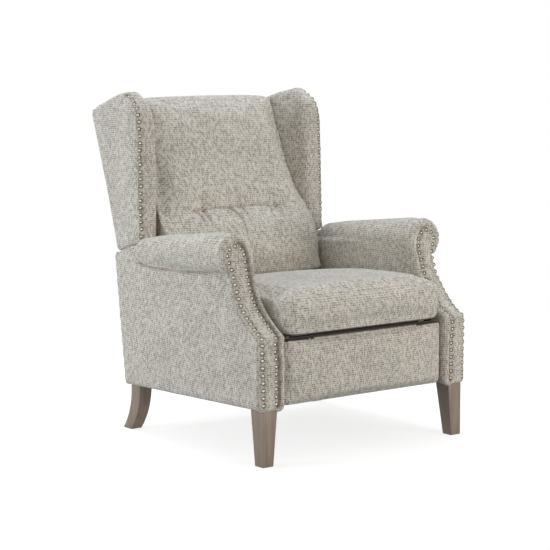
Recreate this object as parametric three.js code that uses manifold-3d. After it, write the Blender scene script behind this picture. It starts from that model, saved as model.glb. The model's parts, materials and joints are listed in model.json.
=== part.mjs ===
// Push-back wing recliner with rolled arms, in millimetres, +Z up, its front facing -Y.
// Depths are measured back from the front of the arms; the last lines centre the chair.
// Left is the sitter's left, +X. Each paired piece is drawn on the left and mirrored.
import * as THREE from 'three';
import { mergeVertices } from 'three/addons/utils/BufferGeometryUtils.js';
import Module from 'manifold-3d';

const wasm = await Module();
wasm.setup();

// General clearances
const seam = 0.3;
const overrun = 6;
const plateGap = 0.8;
const pinPlay = 0.4;

// Arms
const armOuter = 388;
const armThickness = 86;
const armBottomFront = 161;
const armBottomRear = 140;
const kneeHeight = 366;
const scrollSetback = 150;
const armRearBottomDepth = 681;
const armRearLean = 52;
const armRearTopFall = 13;
const armEdgeRound = 12;
const rollRadius = 63;
const rollRearRadius = 43;
const rollHeight = 584;
const rollFall = 33;
const rollInset = 31;
const rollRearInset = 32;
const rollEndInset = 97;
const rollFaceRound = 14;
const rollEndLength = 30;
const shelfRise = 35;
const frontWall = 62;
const innerPadRise = 12;

// Side panel inside each arm
const boardPadding = 28;
const boardThickness = 22;
const boardInset = 14;

// Legs
const legInset = 11;
const frontLegSetback = 5;
const frontLegTopWidth = 52;
const frontLegTopDepth = 58;
const frontLegFoot = 38;
const rearLegTopWidth = 45;
const rearLegTopDepth = 48;
const rearLegFootWidth = 39;
const rearLegFootDepth = 44;
const rearLegInset = 59;
const rearLegSweep = 50;
const rearLegCurve = 2.4;
const studRadius = 4;
const studLength = 34;

// Rails between the arms
const stretcherThickness = 22;
const stretcherHeight = 50;
const stretcherBottom = 165;
const frontStretcherDepth = 292;
const rearStretcherInset = 83;
const rearPanelThickness = 16;
const rearPanelBottom = 152;
const rearPanelFall = 228;
const rearPanelInset = 4;

// Seat cushion and frame
const seatSidePlay = 13;
const seatOverhang = 8;
const seatBackInset = 75;
const seatTop = 495;
const seatCrown = 11;
const seatRise = 31;
const seatNoseLength = 46;
const seatEndRound = 26;
const railThickness = 22;
const railHeight = 38;
const railTop = 356;
const sideRailInset = 56;
const seatRailFront = 54;
const seatRailInset = 10;
const springCount = 5;
const springWire = 1.8;
const springAmplitude = 24;
const springWaves = 6;
const springInset = 66;

// Steel plates, links and pins
const plate = 4;
const linkHalfWidth = 11;
const pinRadius = 4;
const headRadius = 7.5;
const headThickness = 1.5;

// Seat travel and recline
const reclineAngle = 28;
const seatTravel = 50;
const pivotInset = 76;
const pivotDrop = 11;
const pivotRadius = 6;
const pivotEar = 20;
const pushPinRadius = 5;
const basePlateMargin = 26;
const footrestAngle = 84;

// Seat tracks
const trackDepth = 14;
const trackHeight = 28;
const trackWall = 2.5;
const trackPlay = 0.5;
const trackFront = 96;
const trackRearInset = 45;
const trackDrop = 56;
const runnerFront = 152;
const runnerRearPlay = 28;
const runnerReach = 17;
const standoffWidth = 30;
const standoffFirst = 292;
const standoffRearInset = 78;

// Footrest linkage
const linkPivotDepth = 100;
const linkPivotDrop = 48;
const linkPivotSpacing = 50;
const linkLength = 140;
const linkRestAngle = 129;
const shortSpacing = 38;
const hingeReach = 128;
const hingeRise = 90;
const tubeRadius = 9;
const tubeDistance = 100;
const yokeWidth = 44;
const yokeDrop = 38;
const yokeProud = 4;
const yokeInset = 33;
const yokePlay = 2.2;

// Footrest
const padSidePlay = 5;
const padBottom = 165;
const padTopRise = 1;
const padProud = 4;
const padThickness = 35;
const padCrown = 8;
const padEdgeRound = 14;
const footBoardThickness = 12;
const footBoardInset = 13;
const bracketHeight = 130;
const bracketFlange = 24;

// Back
const rakeAngle = 19.7;
const skinSetback = 64;
const skinRise = 10;
const skinTopFall = 61.16;
const skinBottom = 215;
const skinThickness = 14;
const skinInset = 2;
const skinLowerPlay = 14;
const skinCornerRound = 16;
const frameDepth = 50;
const postWidth = 22;
const postInset = 54;
const bottomRailTop = 130;
const bottomRailHeight = 42;
const topRailFall = 55;
const topRailHeight = 34;
const midRailShare = 0.38;
const midRailHeight = 40;

// Back cushion
const cushionPlay = 4;
const cushionTopFall = 17;
const cushionReach = 266;
const cushionRearCover = 61.27;
const cushionRearDrop = 6;
const cushionArmPlay = 16;
const cushionEdgeDrop = 38;
const cushionTopDrop = 12;
const cushionDropLength = 303;
const cushionSidePlay = 4;
const cushionPostPlay = 12;
const tuftRise = 193;
const tuftSpacing = 140;
const tuftDepth = 18;
const tuftReach = 34;
const creaseDepth = 8;
const creaseReach = 26;

// Wings
const wingReach = 157;
const wingRise = 40;
const wingHeelDrop = 12;
const wingPeakSetback = 96;
const wingPeakHeight = 1030;
const wingCrestDrop = 14;
const wingCrestShare = 0.28;
const wingInnerPlay = 7;
const wingFlare = 0.346;
const wingOuterInset = 28;
const wingNarrowing = 30;
const wingThinning = 35;
const wingThinLength = 130;
const wingEdgeRound = 15;
const wingBoardThickness = 12;
const wingBoardCover = 20;
const wingBoardInset = 24;
const wingBoardDrop = 84;

const radians = THREE.MathUtils.degToRad;
const rake = radians(rakeAngle);

// Heights that follow the seat's rails
const seatBottom = railTop + 2 * springWire + 2 * seam;
const innerPadBottom = railTop + innerPadRise;
const pivotHeight = railTop - pivotDrop;
const trackCentre = railTop - trackDrop;
const linkPivotHeight = railTop - linkPivotDrop;
const yokeBottom = railTop - yokeDrop;
const yokeTop = railTop + yokeProud;
const padTop = railTop + padTopRise;
const seatRearTop = seatTop - seatRise;
const cushionBottom = seatRearTop + cushionPlay;

// Heights that follow the arms' rolls
const rollRearHeight = rollHeight - rollFall;
const armRearTopHeight = rollRearHeight - armRearTopFall;
const skinHeight = armRearTopHeight + skinRise;
const wingBottomFront = armRearTopHeight + wingRise;
const rearPanelTop = skinHeight - rearPanelFall;

// Widths that follow the arms
const armInner = armOuter - armThickness;
const boardInner = armInner + boardPadding;
const boardOuter = boardInner + boardThickness;
const rollOffset = armOuter - rollInset;
const rollRearOffset = armOuter - rollRearInset;
const legOuter = armOuter - legInset;
const seatHalfWidth = armInner - seatSidePlay;
const sideRailInner = armInner - sideRailInset;
const springReach = sideRailInner - springInset;
const yokeInner = boardInner - yokeInset;
const padHalfWidth = armInner - padSidePlay;
const postOuter = armInner - postInset;
const cushionHalfWidth = armInner - cushionArmPlay;
const wingInnerFront = armInner - wingInnerPlay;
const wingOuterFront = armOuter - wingOuterInset;
const wingOuterRear = wingOuterFront - wingNarrowing;
const skinHalfWidth = wingOuterRear - skinInset;
const skinLowerHalfWidth = armInner - skinLowerPlay;

// Depths that follow the arms' rear edge
const armRearTopDepth = armRearBottomDepth + armRearLean;
const armRearmost = Math.max(armRearTopDepth, armRearBottomDepth);
const rollEnd = armRearTopDepth - rollEndInset;
const rearLegTopSetback = armRearBottomDepth - rearLegInset;
const rearStretcherDepth = armRearBottomDepth - rearStretcherInset;
const seatBack = armRearBottomDepth - seatBackInset;
const seatRailBack = seatBack - seatRailInset;
const pivotDepth = armRearBottomDepth - pivotInset;
const trackRear = pivotDepth - trackRearInset;
const runnerLength = trackRear - runnerFront - runnerRearPlay;
const standoffSecond = trackRear - standoffRearInset;
const skinDepth = armRearTopDepth + skinSetback;
const cushionFront = skinDepth - cushionReach;
const wingFrontDepth = skinDepth - wingReach;
const wingPeakDepth = wingFrontDepth + wingPeakSetback;

// Heights that follow the wings' peak
const skinTop = (wingPeakHeight - skinTopFall - skinHeight) / Math.cos(rake);
const topRailBottom = skinTop - topRailFall;
const midRailBottom = skinTop * midRailShare;
const cushionTop = wingPeakHeight - cushionTopFall;
const cushionDropStart = cushionTop - cushionDropLength;
const tuftHeight = cushionBottom + tuftRise;
const wingThinStart = wingPeakHeight - wingThinLength;

// Solid helpers

function signedVolume(geometry) {
  const flat = geometry.index ? geometry.toNonIndexed() : geometry;
  const p = flat.attributes.position;
  const a = new THREE.Vector3();
  const b = new THREE.Vector3();
  const c = new THREE.Vector3();
  let sum = 0;
  for (let i = 0; i < p.count; i += 3) {
    a.fromBufferAttribute(p, i);
    b.fromBufferAttribute(p, i + 1);
    c.fromBufferAttribute(p, i + 2);
    sum += a.dot(b.cross(c));
  }
  return sum;
}

function flipped(geometry) {
  const turned = geometry.clone();
  const index = turned.index.array;
  for (let i = 0; i < index.length; i += 3) {
    [index[i + 1], index[i + 2]] = [index[i + 2], index[i + 1]];
  }
  return turned;
}

// One closed body whose corners are shared and whose faces point out.
function closed(geometry) {
  const bare = geometry.clone();
  bare.deleteAttribute('normal');
  bare.deleteAttribute('uv');
  const merged = mergeVertices(bare);
  const corners = merged.index.array;
  const kept = [];
  for (let i = 0; i < corners.length; i += 3) {
    const [a, b, c] = corners.slice(i, i + 3);
    if (a !== b && b !== c && c !== a) {
      kept.push(a, b, c);
    }
  }
  merged.setIndex(kept);
  return signedVolume(merged) < 0 ? flipped(merged) : merged;
}

// A solid may be a geometry or the result of an earlier cut or join.
function toManifold(solid) {
  if (!solid.isBufferGeometry) {
    return solid;
  }
  const body = closed(solid);
  return new wasm.Manifold(new wasm.Mesh({
    numProp: 3,
    vertProperties: Float32Array.from(body.attributes.position.array),
    triVerts: Uint32Array.from(body.index.array),
  }));
}

function toGeometry(solid) {
  if (solid.isBufferGeometry) {
    return closed(solid);
  }
  const mesh = solid.getMesh();
  const geometry = new THREE.BufferGeometry();
  geometry.setAttribute('position', new THREE.BufferAttribute(Float32Array.from(mesh.vertProperties), 3));
  geometry.setIndex(new THREE.BufferAttribute(Uint32Array.from(mesh.triVerts), 1));
  return geometry;
}

function joined(...solids) {
  return solids.map(toManifold).reduce((all, next) => all.add(next));
}

function cut(solid, ...tools) {
  return tools.map(toManifold).reduce((left, tool) => left.subtract(tool), toManifold(solid));
}

function mirrored(geometry) {
  return flipped(geometry.clone().scale(-1, 1, 1));
}

function box(x0, x1, y0, y1, z0, z1) {
  const geometry = new THREE.BoxGeometry(x1 - x0, y1 - y0, z1 - z0);
  return geometry.translate((x0 + x1) / 2, (y0 + y1) / 2, (z0 + z1) / 2);
}

// A flat plate drawn in depth and height, standing across X.
const acrossX = new THREE.Matrix4().makeBasis(
  new THREE.Vector3(0, 1, 0), new THREE.Vector3(0, 0, 1), new THREE.Vector3(1, 0, 0));

function plateAcross(shape, x0, x1) {
  const geometry = new THREE.ExtrudeGeometry(shape, { depth: x1 - x0, bevelEnabled: false, curveSegments: 8 });
  return geometry.applyMatrix4(acrossX).translate(x0, 0, 0);
}

function outlineShape(points) {
  return new THREE.Shape(points.map(([y, z]) => new THREE.Vector2(y, z)));
}

function pin([y, z], radius, x0, x1) {
  const geometry = new THREE.CylinderGeometry(radius, radius, x1 - x0, 14);
  return geometry.rotateZ(Math.PI / 2).translate((x0 + x1) / 2, y, z);
}

// A bar with round ends through a row of points.
function barShapes(points, halfWidth) {
  const shapes = [];
  for (let i = 0; i + 1 < points.length; i += 1) {
    const [ay, az] = points[i];
    const [by, bz] = points[i + 1];
    const heading = Math.atan2(bz - az, by - ay);
    const shape = new THREE.Shape();
    shape.absarc(ay, az, halfWidth, heading + Math.PI / 2, heading - Math.PI / 2, false);
    shape.absarc(by, bz, halfWidth, heading - Math.PI / 2, heading + Math.PI / 2, false);
    shapes.push(shape);
  }
  return shapes;
}

function bar(points, halfWidth, x0, x1) {
  return joined(...barShapes(points, halfWidth).map((shape) => plateAcross(shape, x0, x1)));
}

// Rings of equal count, skinned one to the next, with a flat cap on each end.
function loft(rings) {
  const count = rings[0].length;
  const positions = rings.flat().flat();
  const index = [];
  for (let k = 0; k + 1 < rings.length; k += 1) {
    for (let i = 0; i < count; i += 1) {
      const a = k * count + i;
      const b = k * count + (i + 1) % count;
      index.push(a, b, b + count, a, b + count, a + count);
    }
  }
  const last = (rings.length - 1) * count;
  const cap = (ring, base, reverse) => {
    const flat = ring.map(([, y, z]) => new THREE.Vector2(y, z));
    for (const [a, b, c] of THREE.ShapeUtils.triangulateShape(flat, [])) {
      index.push(base + a, base + (reverse ? c : b), base + (reverse ? b : c));
    }
  };
  const clockwise = THREE.ShapeUtils.isClockWise(rings[0].map(([, y, z]) => new THREE.Vector2(y, z)));
  cap(rings[0], 0, !clockwise);
  cap(rings[rings.length - 1], last, clockwise);
  const geometry = new THREE.BufferGeometry();
  geometry.setAttribute('position', new THREE.Float32BufferAttribute(positions, 3));
  geometry.setIndex(index);
  return geometry;
}

// An outline drawn in by a distance, each corner along the middle of its two edges' normals.
function inset(points, distance) {
  const turn = THREE.ShapeUtils.isClockWise(points.map(([y, z]) => new THREE.Vector2(y, z))) ? -1 : 1;
  return points.map(([y, z], i) => {
    const [py, pz] = points[(i + points.length - 1) % points.length];
    const [ny, nz] = points[(i + 1) % points.length];
    const before = Math.hypot(y - py, z - pz);
    const after = Math.hypot(ny - y, nz - z);
    const ay = (y - py) / before;
    const az = (z - pz) / before;
    const by = (ny - y) / after;
    const bz = (nz - z) / after;
    const my = -(az + bz);
    const mz = ay + by;
    const length = Math.hypot(my, mz);
    const miter = Math.min(2 / length, Math.SQRT2);
    return [y + turn * distance * miter * my / length, z + turn * distance * miter * mz / length];
  });
}

function drawnIn(points, share) {
  const middle = [0, 1].map((axis) => {
    const values = points.map((point) => point[axis]);
    return (Math.min(...values) + Math.max(...values)) / 2;
  });
  return points.map((point) => point.map((value, axis) => value + (middle[axis] - value) * share));
}

// A slab of one outline between two faces that may lean, its edges rounded; an inner face that is
// not flat gets further rings of points.
function softSlab(outline, innerAt, outerAt, round, innerShares = []) {
  const steps = 3;
  const inner = [];
  const outer = [];
  for (let k = 0; k <= steps; k += 1) {
    const turn = (k / steps) * Math.PI / 2;
    const drawn = inset(outline, round * (1 - Math.sin(turn)));
    const raised = round * (1 - Math.cos(turn));
    inner.push(drawn.map(([y, z]) => [innerAt(y, z) + raised, y, z]));
    outer.push(drawn.map(([y, z]) => [outerAt(y, z) - raised, y, z]));
  }
  const face = inset(outline, round);
  const middle = innerShares.map((share) => drawnIn(face, share).map(([y, z]) => [innerAt(y, z), y, z]));
  return loft([...middle, ...inner, ...outer.reverse()]);
}

// Materials

function fabric() {
  return new THREE.MeshStandardMaterial({ color: 0xbdb8ae, roughness: 0.95, metalness: 0 });
}

function stainedWood() {
  return new THREE.MeshStandardMaterial({ color: 0x94867a, roughness: 0.55, metalness: 0 });
}

function frameWood() {
  return new THREE.MeshStandardMaterial({ color: 0xc9a878, roughness: 0.8, metalness: 0 });
}

function steel() {
  return new THREE.MeshStandardMaterial({ color: 0x4c4e52, roughness: 0.5, metalness: 0.9 });
}

const chair = new THREE.Group();

function add(name, solid, material) {
  const mesh = new THREE.Mesh(toGeometry(solid), material);
  mesh.name = name;
  chair.add(mesh);
}

function addPair(name, solid, makeMaterial) {
  add(`${name}_left`, solid, makeMaterial());
  add(`${name}_right`, mirrored(toGeometry(solid)), makeMaterial());
}

// Arms

function armBottomAt(depth) {
  return armBottomFront + (armBottomRear - armBottomFront) * depth / armRearBottomDepth;
}

// The front edge sweeps back from the knee to the scroll: shares of setback and of rise.
const sweepShares = [
  [0.21, 0.08], [0.42, 0.21], [0.57, 0.325], [0.73, 0.49], [0.85, 0.65], [0.94, 0.84],
];

// Behind the roll the arm's top falls to its rear corner: shares of the length and of the rise.
const shelfShares = [[0, 1], [0.43, 0.75], [0.74, 0.42], [1, 0]];

function armOutline() {
  const scrollFoot = rollHeight - rollRadius / 3;
  const rise = scrollFoot - kneeHeight;
  const sweep = sweepShares.map(([back, up]) => [back * scrollSetback, kneeHeight + up * rise]);
  const shelf = shelfShares.map(([back, up]) => [
    rollEnd + back * (armRearTopDepth - rollEnd), armRearTopHeight + up * shelfRise,
  ]);
  return [
    [0, armBottomAt(0)],
    [0, (armBottomFront + kneeHeight) / 2],
    [0, kneeHeight],
    ...sweep,
    [scrollSetback, scrollFoot],
    [scrollSetback + rollFaceRound, rollHeight],
    [rollEnd - rollEndLength, rollRearHeight],
    ...shelf,
    [armRearBottomDepth, armBottomAt(armRearBottomDepth)],
  ];
}

function armRoll() {
  const front = new THREE.Vector3(rollOffset, scrollSetback, rollHeight);
  const rear = new THREE.Vector3(rollRearOffset, rollEnd, rollRearHeight);
  const length = front.distanceTo(rear);
  const profile = [new THREE.Vector2(0, 0)];
  const steps = 3;
  for (let k = 0; k <= steps; k += 1) {
    const turn = (k / steps) * Math.PI / 2;
    const radius = rollRadius - rollFaceRound * (1 - Math.sin(turn));
    profile.push(new THREE.Vector2(radius, rollFaceRound * (1 - Math.cos(turn))));
  }
  for (let k = 0; k < steps; k += 1) {
    const turn = (k / steps) * Math.PI / 2;
    const along = length - rollEndLength * (1 - Math.sin(turn));
    profile.push(new THREE.Vector2(rollRearRadius * Math.cos(turn), along));
  }
  profile.push(new THREE.Vector2(0, length));
  const geometry = new THREE.LatheGeometry(profile, 28);
  const heading = new THREE.Quaternion().setFromUnitVectors(
    new THREE.Vector3(0, 1, 0), rear.clone().sub(front).normalize());
  return geometry.applyQuaternion(heading).translate(front.x, front.y, front.z);
}

function boardOutline(margin, below) {
  const drawn = inset(armOutline(), margin);
  const bottomFront = drawn[0];
  const bottomRear = drawn[drawn.length - 1];
  drawn[0] = [bottomFront[0], armBottomAt(bottomFront[0]) - below];
  drawn[drawn.length - 1] = [bottomRear[0], armBottomAt(bottomRear[0]) - below];
  return drawn;
}

function legStud(depth) {
  const radius = studRadius;
  const centre = (boardInner + boardOuter) / 2;
  const top = armBottomAt(depth) + studLength;
  const bottom = armBottomAt(depth) - studLength;
  const geometry = new THREE.CylinderGeometry(radius, radius, top - bottom, 12);
  return geometry.rotateX(Math.PI / 2).translate(centre, depth, (top + bottom) / 2);
}

function studHole(depth) {
  const radius = studRadius + pinPlay;
  const centre = (boardInner + boardOuter) / 2;
  const top = armBottomAt(depth) + studLength + plateGap;
  const bottom = armBottomAt(depth) - overrun;
  const geometry = new THREE.CylinderGeometry(radius, radius, top - bottom, 12);
  return geometry.rotateX(Math.PI / 2).translate(centre, depth, (top + bottom) / 2);
}

const frontStudDepth = frontLegSetback + frontLegTopDepth / 2;
const rearStudDepth = rearLegTopSetback + rearLegTopDepth / 4;

function addArms() {
  const board = cut(
    plateAcross(outlineShape(boardOutline(boardInset, 0)), boardInner, boardOuter),
    studHole(frontStudDepth), studHole(rearStudDepth));
  const slot = plateAcross(
    outlineShape(boardOutline(boardInset - seam, overrun)), boardInner - seam, boardOuter + seam);
  const pocket = box(
    armInner - rollRadius, boardInner, frontWall, armRearmost + overrun,
    armBottomRear - overrun, innerPadBottom);
  const slab = softSlab(armOutline(), () => armInner, () => armOuter, armEdgeRound);
  const cover = cut(joined(slab, armRoll()), slot, pocket);
  addPair('arm_panel', board, frameWood);
  addPair('arm_cover', cover, fabric);
}

// Legs

// A four-sided leg from sections that list their inner and outer sides, front and rear, and height.
function legBody(sections) {
  const rings = sections.map(([x0, x1, y0, y1, zAt]) => [
    [x0, y0, zAt(y0)], [x1, y0, zAt(y0)], [x1, y1, zAt(y1)], [x0, y1, zAt(y1)],
  ]);
  const positions = rings.flat().flat();
  const index = [0, 1, 2, 0, 2, 3];
  for (let k = 0; k + 1 < rings.length; k += 1) {
    for (let i = 0; i < 4; i += 1) {
      const a = k * 4 + i;
      const b = k * 4 + (i + 1) % 4;
      index.push(a, a + 4, b + 4, a, b + 4, b);
    }
  }
  const last = (rings.length - 1) * 4;
  index.push(last, last + 2, last + 1, last, last + 3, last + 2);
  const geometry = new THREE.BufferGeometry();
  geometry.setAttribute('position', new THREE.Float32BufferAttribute(positions, 3));
  geometry.setIndex(index);
  return geometry;
}

function addLegs() {
  const underArm = (depth) => armBottomAt(depth) - seam;
  const floor = () => 0;
  const front = legBody([
    [legOuter - frontLegFoot, legOuter, frontLegSetback, frontLegSetback + frontLegFoot, floor],
    [legOuter - frontLegTopWidth, legOuter, frontLegSetback, frontLegSetback + frontLegTopDepth, underArm],
  ]);
  const sections = [];
  const steps = 6;
  for (let k = 0; k <= steps; k += 1) {
    const up = k / steps;
    const width = rearLegFootWidth + (rearLegTopWidth - rearLegFootWidth) * up;
    const depth = rearLegFootDepth + (rearLegTopDepth - rearLegFootDepth) * up;
    const back = rearLegTopSetback + rearLegSweep * (1 - up) ** rearLegCurve;
    const level = (y) => (k === steps ? underArm(y) : up * armBottomRear);
    sections.push([legOuter - width, legOuter, back, back + depth, level]);
  }
  addPair('front_leg', joined(front, legStud(frontStudDepth)), stainedWood);
  addPair('rear_leg', joined(legBody(sections), legStud(rearStudDepth)), stainedWood);
}

// Rails between the arm panels

function armRearAt(height) {
  const share = (height - armBottomRear) / (armRearTopHeight - armBottomRear);
  return armRearBottomDepth + (armRearTopDepth - armRearBottomDepth) * share;
}

function addStretchers() {
  const reach = boardInner - seam;
  const top = stretcherBottom + stretcherHeight;
  add('front_stretcher', box(
    -reach, reach, frontStretcherDepth, frontStretcherDepth + stretcherThickness, stretcherBottom, top), frameWood());
  add('rear_stretcher', box(
    -reach, reach, rearStretcherDepth, rearStretcherDepth + stretcherThickness, stretcherBottom, top), frameWood());
  const lean = (height, inward) => [armRearAt(height) - rearPanelInset - inward, height];
  const panel = outlineShape([
    lean(rearPanelBottom, 0), lean(rearPanelTop, 0),
    lean(rearPanelTop, rearPanelThickness), lean(rearPanelBottom, rearPanelThickness),
  ]);
  add('rear_panel', plateAcross(panel, -reach, reach), fabric());
}

// Mechanism layers, counted out from the seat's side rails

const sideRailOuter = sideRailInner + railThickness;
const seatPlateInner = sideRailOuter + seam;
const seatPlateOuter = seatPlateInner + plate;
const layer = (number) => {
  const inner = seatPlateOuter + plateGap + (number - 1) * (plate + plateGap);
  return [inner, inner + plate];
};
const basePlateOuter = boardInner - seam;
const basePlateInner = basePlateOuter - plate;
const bracketInner = layer(4)[1] + plateGap;
const bracketOuter = bracketInner + plate;

// Points of the linkage at rest, as depth and height
const swing = radians(linkRestAngle);
const alongLink = (from, distance) => [
  from[0] - distance * Math.cos(swing), from[1] - distance * Math.sin(swing),
];
const frontPivot = [linkPivotDepth, linkPivotHeight];
const rearPivot = [linkPivotDepth + linkPivotSpacing, linkPivotHeight];
const frontKnee = alongLink(frontPivot, linkLength);
const rearKnee = alongLink(rearPivot, linkLength);
const rearFoot = alongLink(rearPivot, linkLength + shortSpacing);
const upperHinge = [frontKnee[0] - hingeReach, frontKnee[1] + hingeRise];
const lowerHinge = alongLink(upperHinge, shortSpacing);

// The crank's pin stays in an upright slot of the base while the seat carries its pivot forward.
const crankRadius = seatTravel / 2 / Math.sin(radians(footrestAngle / 2));
const crankTip = [
  rearPivot[0] - seatTravel / 2,
  rearPivot[1] + crankRadius * Math.cos(radians(footrestAngle / 2)),
];
const crankRise = crankRadius * (1 - Math.cos(radians(footrestAngle / 2)));

// The back's lower arm pushes the seat through an upright slot in the seat's plate.
const pushRadius = seatTravel / 2 / Math.sin(radians(reclineAngle / 2));
const pushPin = [
  pivotDepth + seatTravel / 2,
  pivotHeight - pushRadius * Math.cos(radians(reclineAngle / 2)),
];
const pushRise = pushRadius * (1 - Math.cos(radians(reclineAngle / 2)));

function headedPin(place, from, to, headAt) {
  const [x0, x1] = headAt > from ? [from, to] : [to, from];
  const head = headAt > from ? [to, to + headThickness] : [to - headThickness, to];
  return joined(pin(place, pinRadius, x0, x1), pin(place, headRadius, head[0], head[1]));
}

function upright(place, halfWidth, below, above, x0, x1) {
  return box(x0, x1, place[0] - halfWidth, place[0] + halfWidth, place[1] - below, place[1] + above);
}

function addBasePlates() {
  const margin = basePlateMargin;
  const pivot = [pivotDepth, pivotHeight];
  const top = railTop;
  const low = trackCentre - trackHeight / 2 - margin;
  const body = plateAcross(outlineShape([
    [trackFront - margin / 2, low], [trackFront - margin / 2, top],
    [pivotDepth - margin, innerPadBottom - plateGap], [pivotDepth + margin, innerPadBottom - plateGap],
    [pivotDepth + margin, pivotHeight - margin], [trackRear, low],
  ]), basePlateInner, basePlateOuter);
  const reach = bracketInner - plateGap - headThickness;
  const hinge = joined(
    pin(pivot, pivotRadius, reach, basePlateInner + seam),
    pin(pivot, pivotRadius * 2, bracketOuter + plateGap, basePlateInner + seam),
    pin(pivot, pivotRadius * 1.6, reach - headThickness, reach));
  const yokeFront = crankTip[0] - yokeWidth / 2;
  const yokeBack = crankTip[0] + yokeWidth / 2;
  const yoke = box(yokeInner, yokeInner + plate, yokeFront, yokeBack, yokeBottom, yokeTop);
  const web = box(yokeInner, basePlateInner + seam, yokeFront, yokeBack, yokeBottom, yokeBottom + plate);
  const slot = upright(
    crankTip, pinRadius + yokePlay, pinRadius + yokePlay, pinRadius + yokePlay + crankRise,
    yokeInner - overrun, yokeInner + plate + overrun);
  addPair('base_plate', joined(body, hinge, cut(joined(yoke, web), slot)), steel);
}

function addTracks() {
  const outer = basePlateInner - seam;
  const inner = outer - trackDepth;
  const low = trackCentre - trackHeight / 2;
  const high = trackCentre + trackHeight / 2;
  const channel = cut(
    box(inner, outer, trackFront, trackRear, low, high),
    box(inner - overrun, outer - trackWall, trackFront - overrun, trackRear + overrun,
      low + trackWall, high - trackWall));
  addPair('seat_track', channel, steel);
  const slideOuter = outer - trackWall - trackPlay;
  const slideInner = slideOuter - runnerReach;
  const half = trackHeight / 2 - trackWall - trackPlay;
  const runner = box(
    slideInner, slideOuter, runnerFront, runnerFront + runnerLength, trackCentre - half, trackCentre + half);
  const standoffs = [standoffFirst, standoffSecond].map((depth) => box(
    seatPlateOuter + seam, slideInner + seam, depth, depth + standoffWidth,
    trackCentre - half, trackCentre + half));
  addPair('seat_runner', joined(runner, ...standoffs), steel);
}

// Seat

function addSeatPlates() {
  const tail = pushPin[0] + 1.5 * linkHalfWidth;
  const neck = pivotDepth - 3 * linkHalfWidth;
  const tailTop = pushPin[1] + pushPinRadius + 3 * linkHalfWidth / 2;
  const tailLow = pushPin[1] - pushPinRadius - pushRise - 3 * linkHalfWidth / 2;
  const belly = trackCentre - trackHeight;
  const outline = outlineShape([
    [seatRailFront + linkHalfWidth, railTop], [seatRailFront + linkHalfWidth, linkPivotHeight - 2 * linkHalfWidth],
    [rearPivot[0] + 2 * linkHalfWidth, linkPivotHeight - 2 * linkHalfWidth],
    [rearPivot[0] + 4 * linkHalfWidth, belly], [neck - 4 * linkHalfWidth, belly],
    [neck, tailLow], [tail, tailLow], [tail, tailTop], [neck, tailTop],
    [neck - 3 * linkHalfWidth, railTop],
  ]);
  const body = plateAcross(outline, seatPlateInner, seatPlateOuter);
  const slot = upright(
    pushPin, pushPinRadius + 1.5 * plateGap, pushPinRadius + pushRise + plateGap, pushPinRadius + plateGap,
    seatPlateInner - overrun, seatPlateOuter + overrun);
  const headAt = layer(1)[1] + plateGap / 2;
  const pins = [frontPivot, rearPivot].map((place) => headedPin(place, seatPlateOuter - seam, headAt, headAt));
  addPair('seat_plate', joined(cut(body, slot), ...pins), steel);
}

function addSeatFrame() {
  const low = railTop - railHeight;
  const sideFront = seatRailFront;
  const sideBack = seatRailBack;
  addPair('seat_side_rail', box(sideRailInner, sideRailOuter, sideFront, sideBack, low, railTop), frameWood);
  const reach = sideRailInner - seam;
  add('seat_front_rail', box(-reach, reach, sideFront, sideFront + railThickness, low, railTop), frameWood());
  add('seat_rear_rail', box(-reach, reach, sideBack - railThickness, sideBack, low, railTop), frameWood());
}

function addSprings() {
  const level = railTop + seam + springWire;
  const first = seatRailFront + railThickness / 2;
  const last = seatRailBack - railThickness / 2;
  const sides = 6;
  const section = new THREE.Shape();
  section.absarc(0, 0, springWire, 0, Math.PI * 2, false);
  for (let k = 0; k < springCount; k += 1) {
    const middle = (2 * k / (springCount - 1) - 1) * springReach;
    const points = [];
    const steps = springWaves * 4;
    for (let i = 0; i <= steps; i += 1) {
      const share = i / steps;
      const ease = Math.min(1, 6 * share, 6 * (1 - share));
      const side = springAmplitude * ease * Math.sin(share * springWaves * 2 * Math.PI);
      points.push(new THREE.Vector3(middle + side, first + share * (last - first), level));
    }
    const path = new THREE.CatmullRomCurve3(points);
    const geometry = new THREE.ExtrudeGeometry(section, {
      steps: steps * 1.5, extrudePath: path, curveSegments: sides / 2, bevelEnabled: false,
    });
    add(`seat_spring_${k + 1}`, geometry, steel());
  }
}

// Places across a cushion, with how far its section is drawn in there to round the two ends.
function stationsAcross(halfWidth, round, middleSteps) {
  const endSteps = 4;
  const end = [];
  for (let k = 0; k < endSteps; k += 1) {
    const turn = (k / endSteps) * Math.PI / 2;
    end.push([halfWidth - round * (1 - Math.cos(turn)), round * (1 - Math.sin(turn))]);
  }
  const middle = [];
  for (let k = 0; k <= middleSteps; k += 1) {
    middle.push([(2 * k / middleSteps - 1) * (halfWidth - round), 0]);
  }
  const start = end.map(([x, inward]) => [-x, inward]);
  return [...start, ...middle, ...end.reverse()];
}

// The seat's nose: shares of its rounding back from the front, and of its height.
const noseShares = [
  [1, 0], [0.6, 0.01], [0.28, 0.05], [0.08, 0.15], [0, 0.32], [0, 0.52], [0.04, 0.69], [0.16, 0.83],
  [0.4, 0.94], [0.7, 0.985],
];
// Its top: shares of the way from the nose to the back, and of the rise over the rear.
const seatTopShares = [
  [0, 0.86], [0.07, 0.96], [0.15, 1], [0.25, 0.99], [0.35, 0.94], [0.45, 0.85], [0.55, 0.71], [0.65, 0.52],
  [0.74, 0.3], [0.81, 0.12], [0.88, 0], [1, 0],
];

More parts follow.
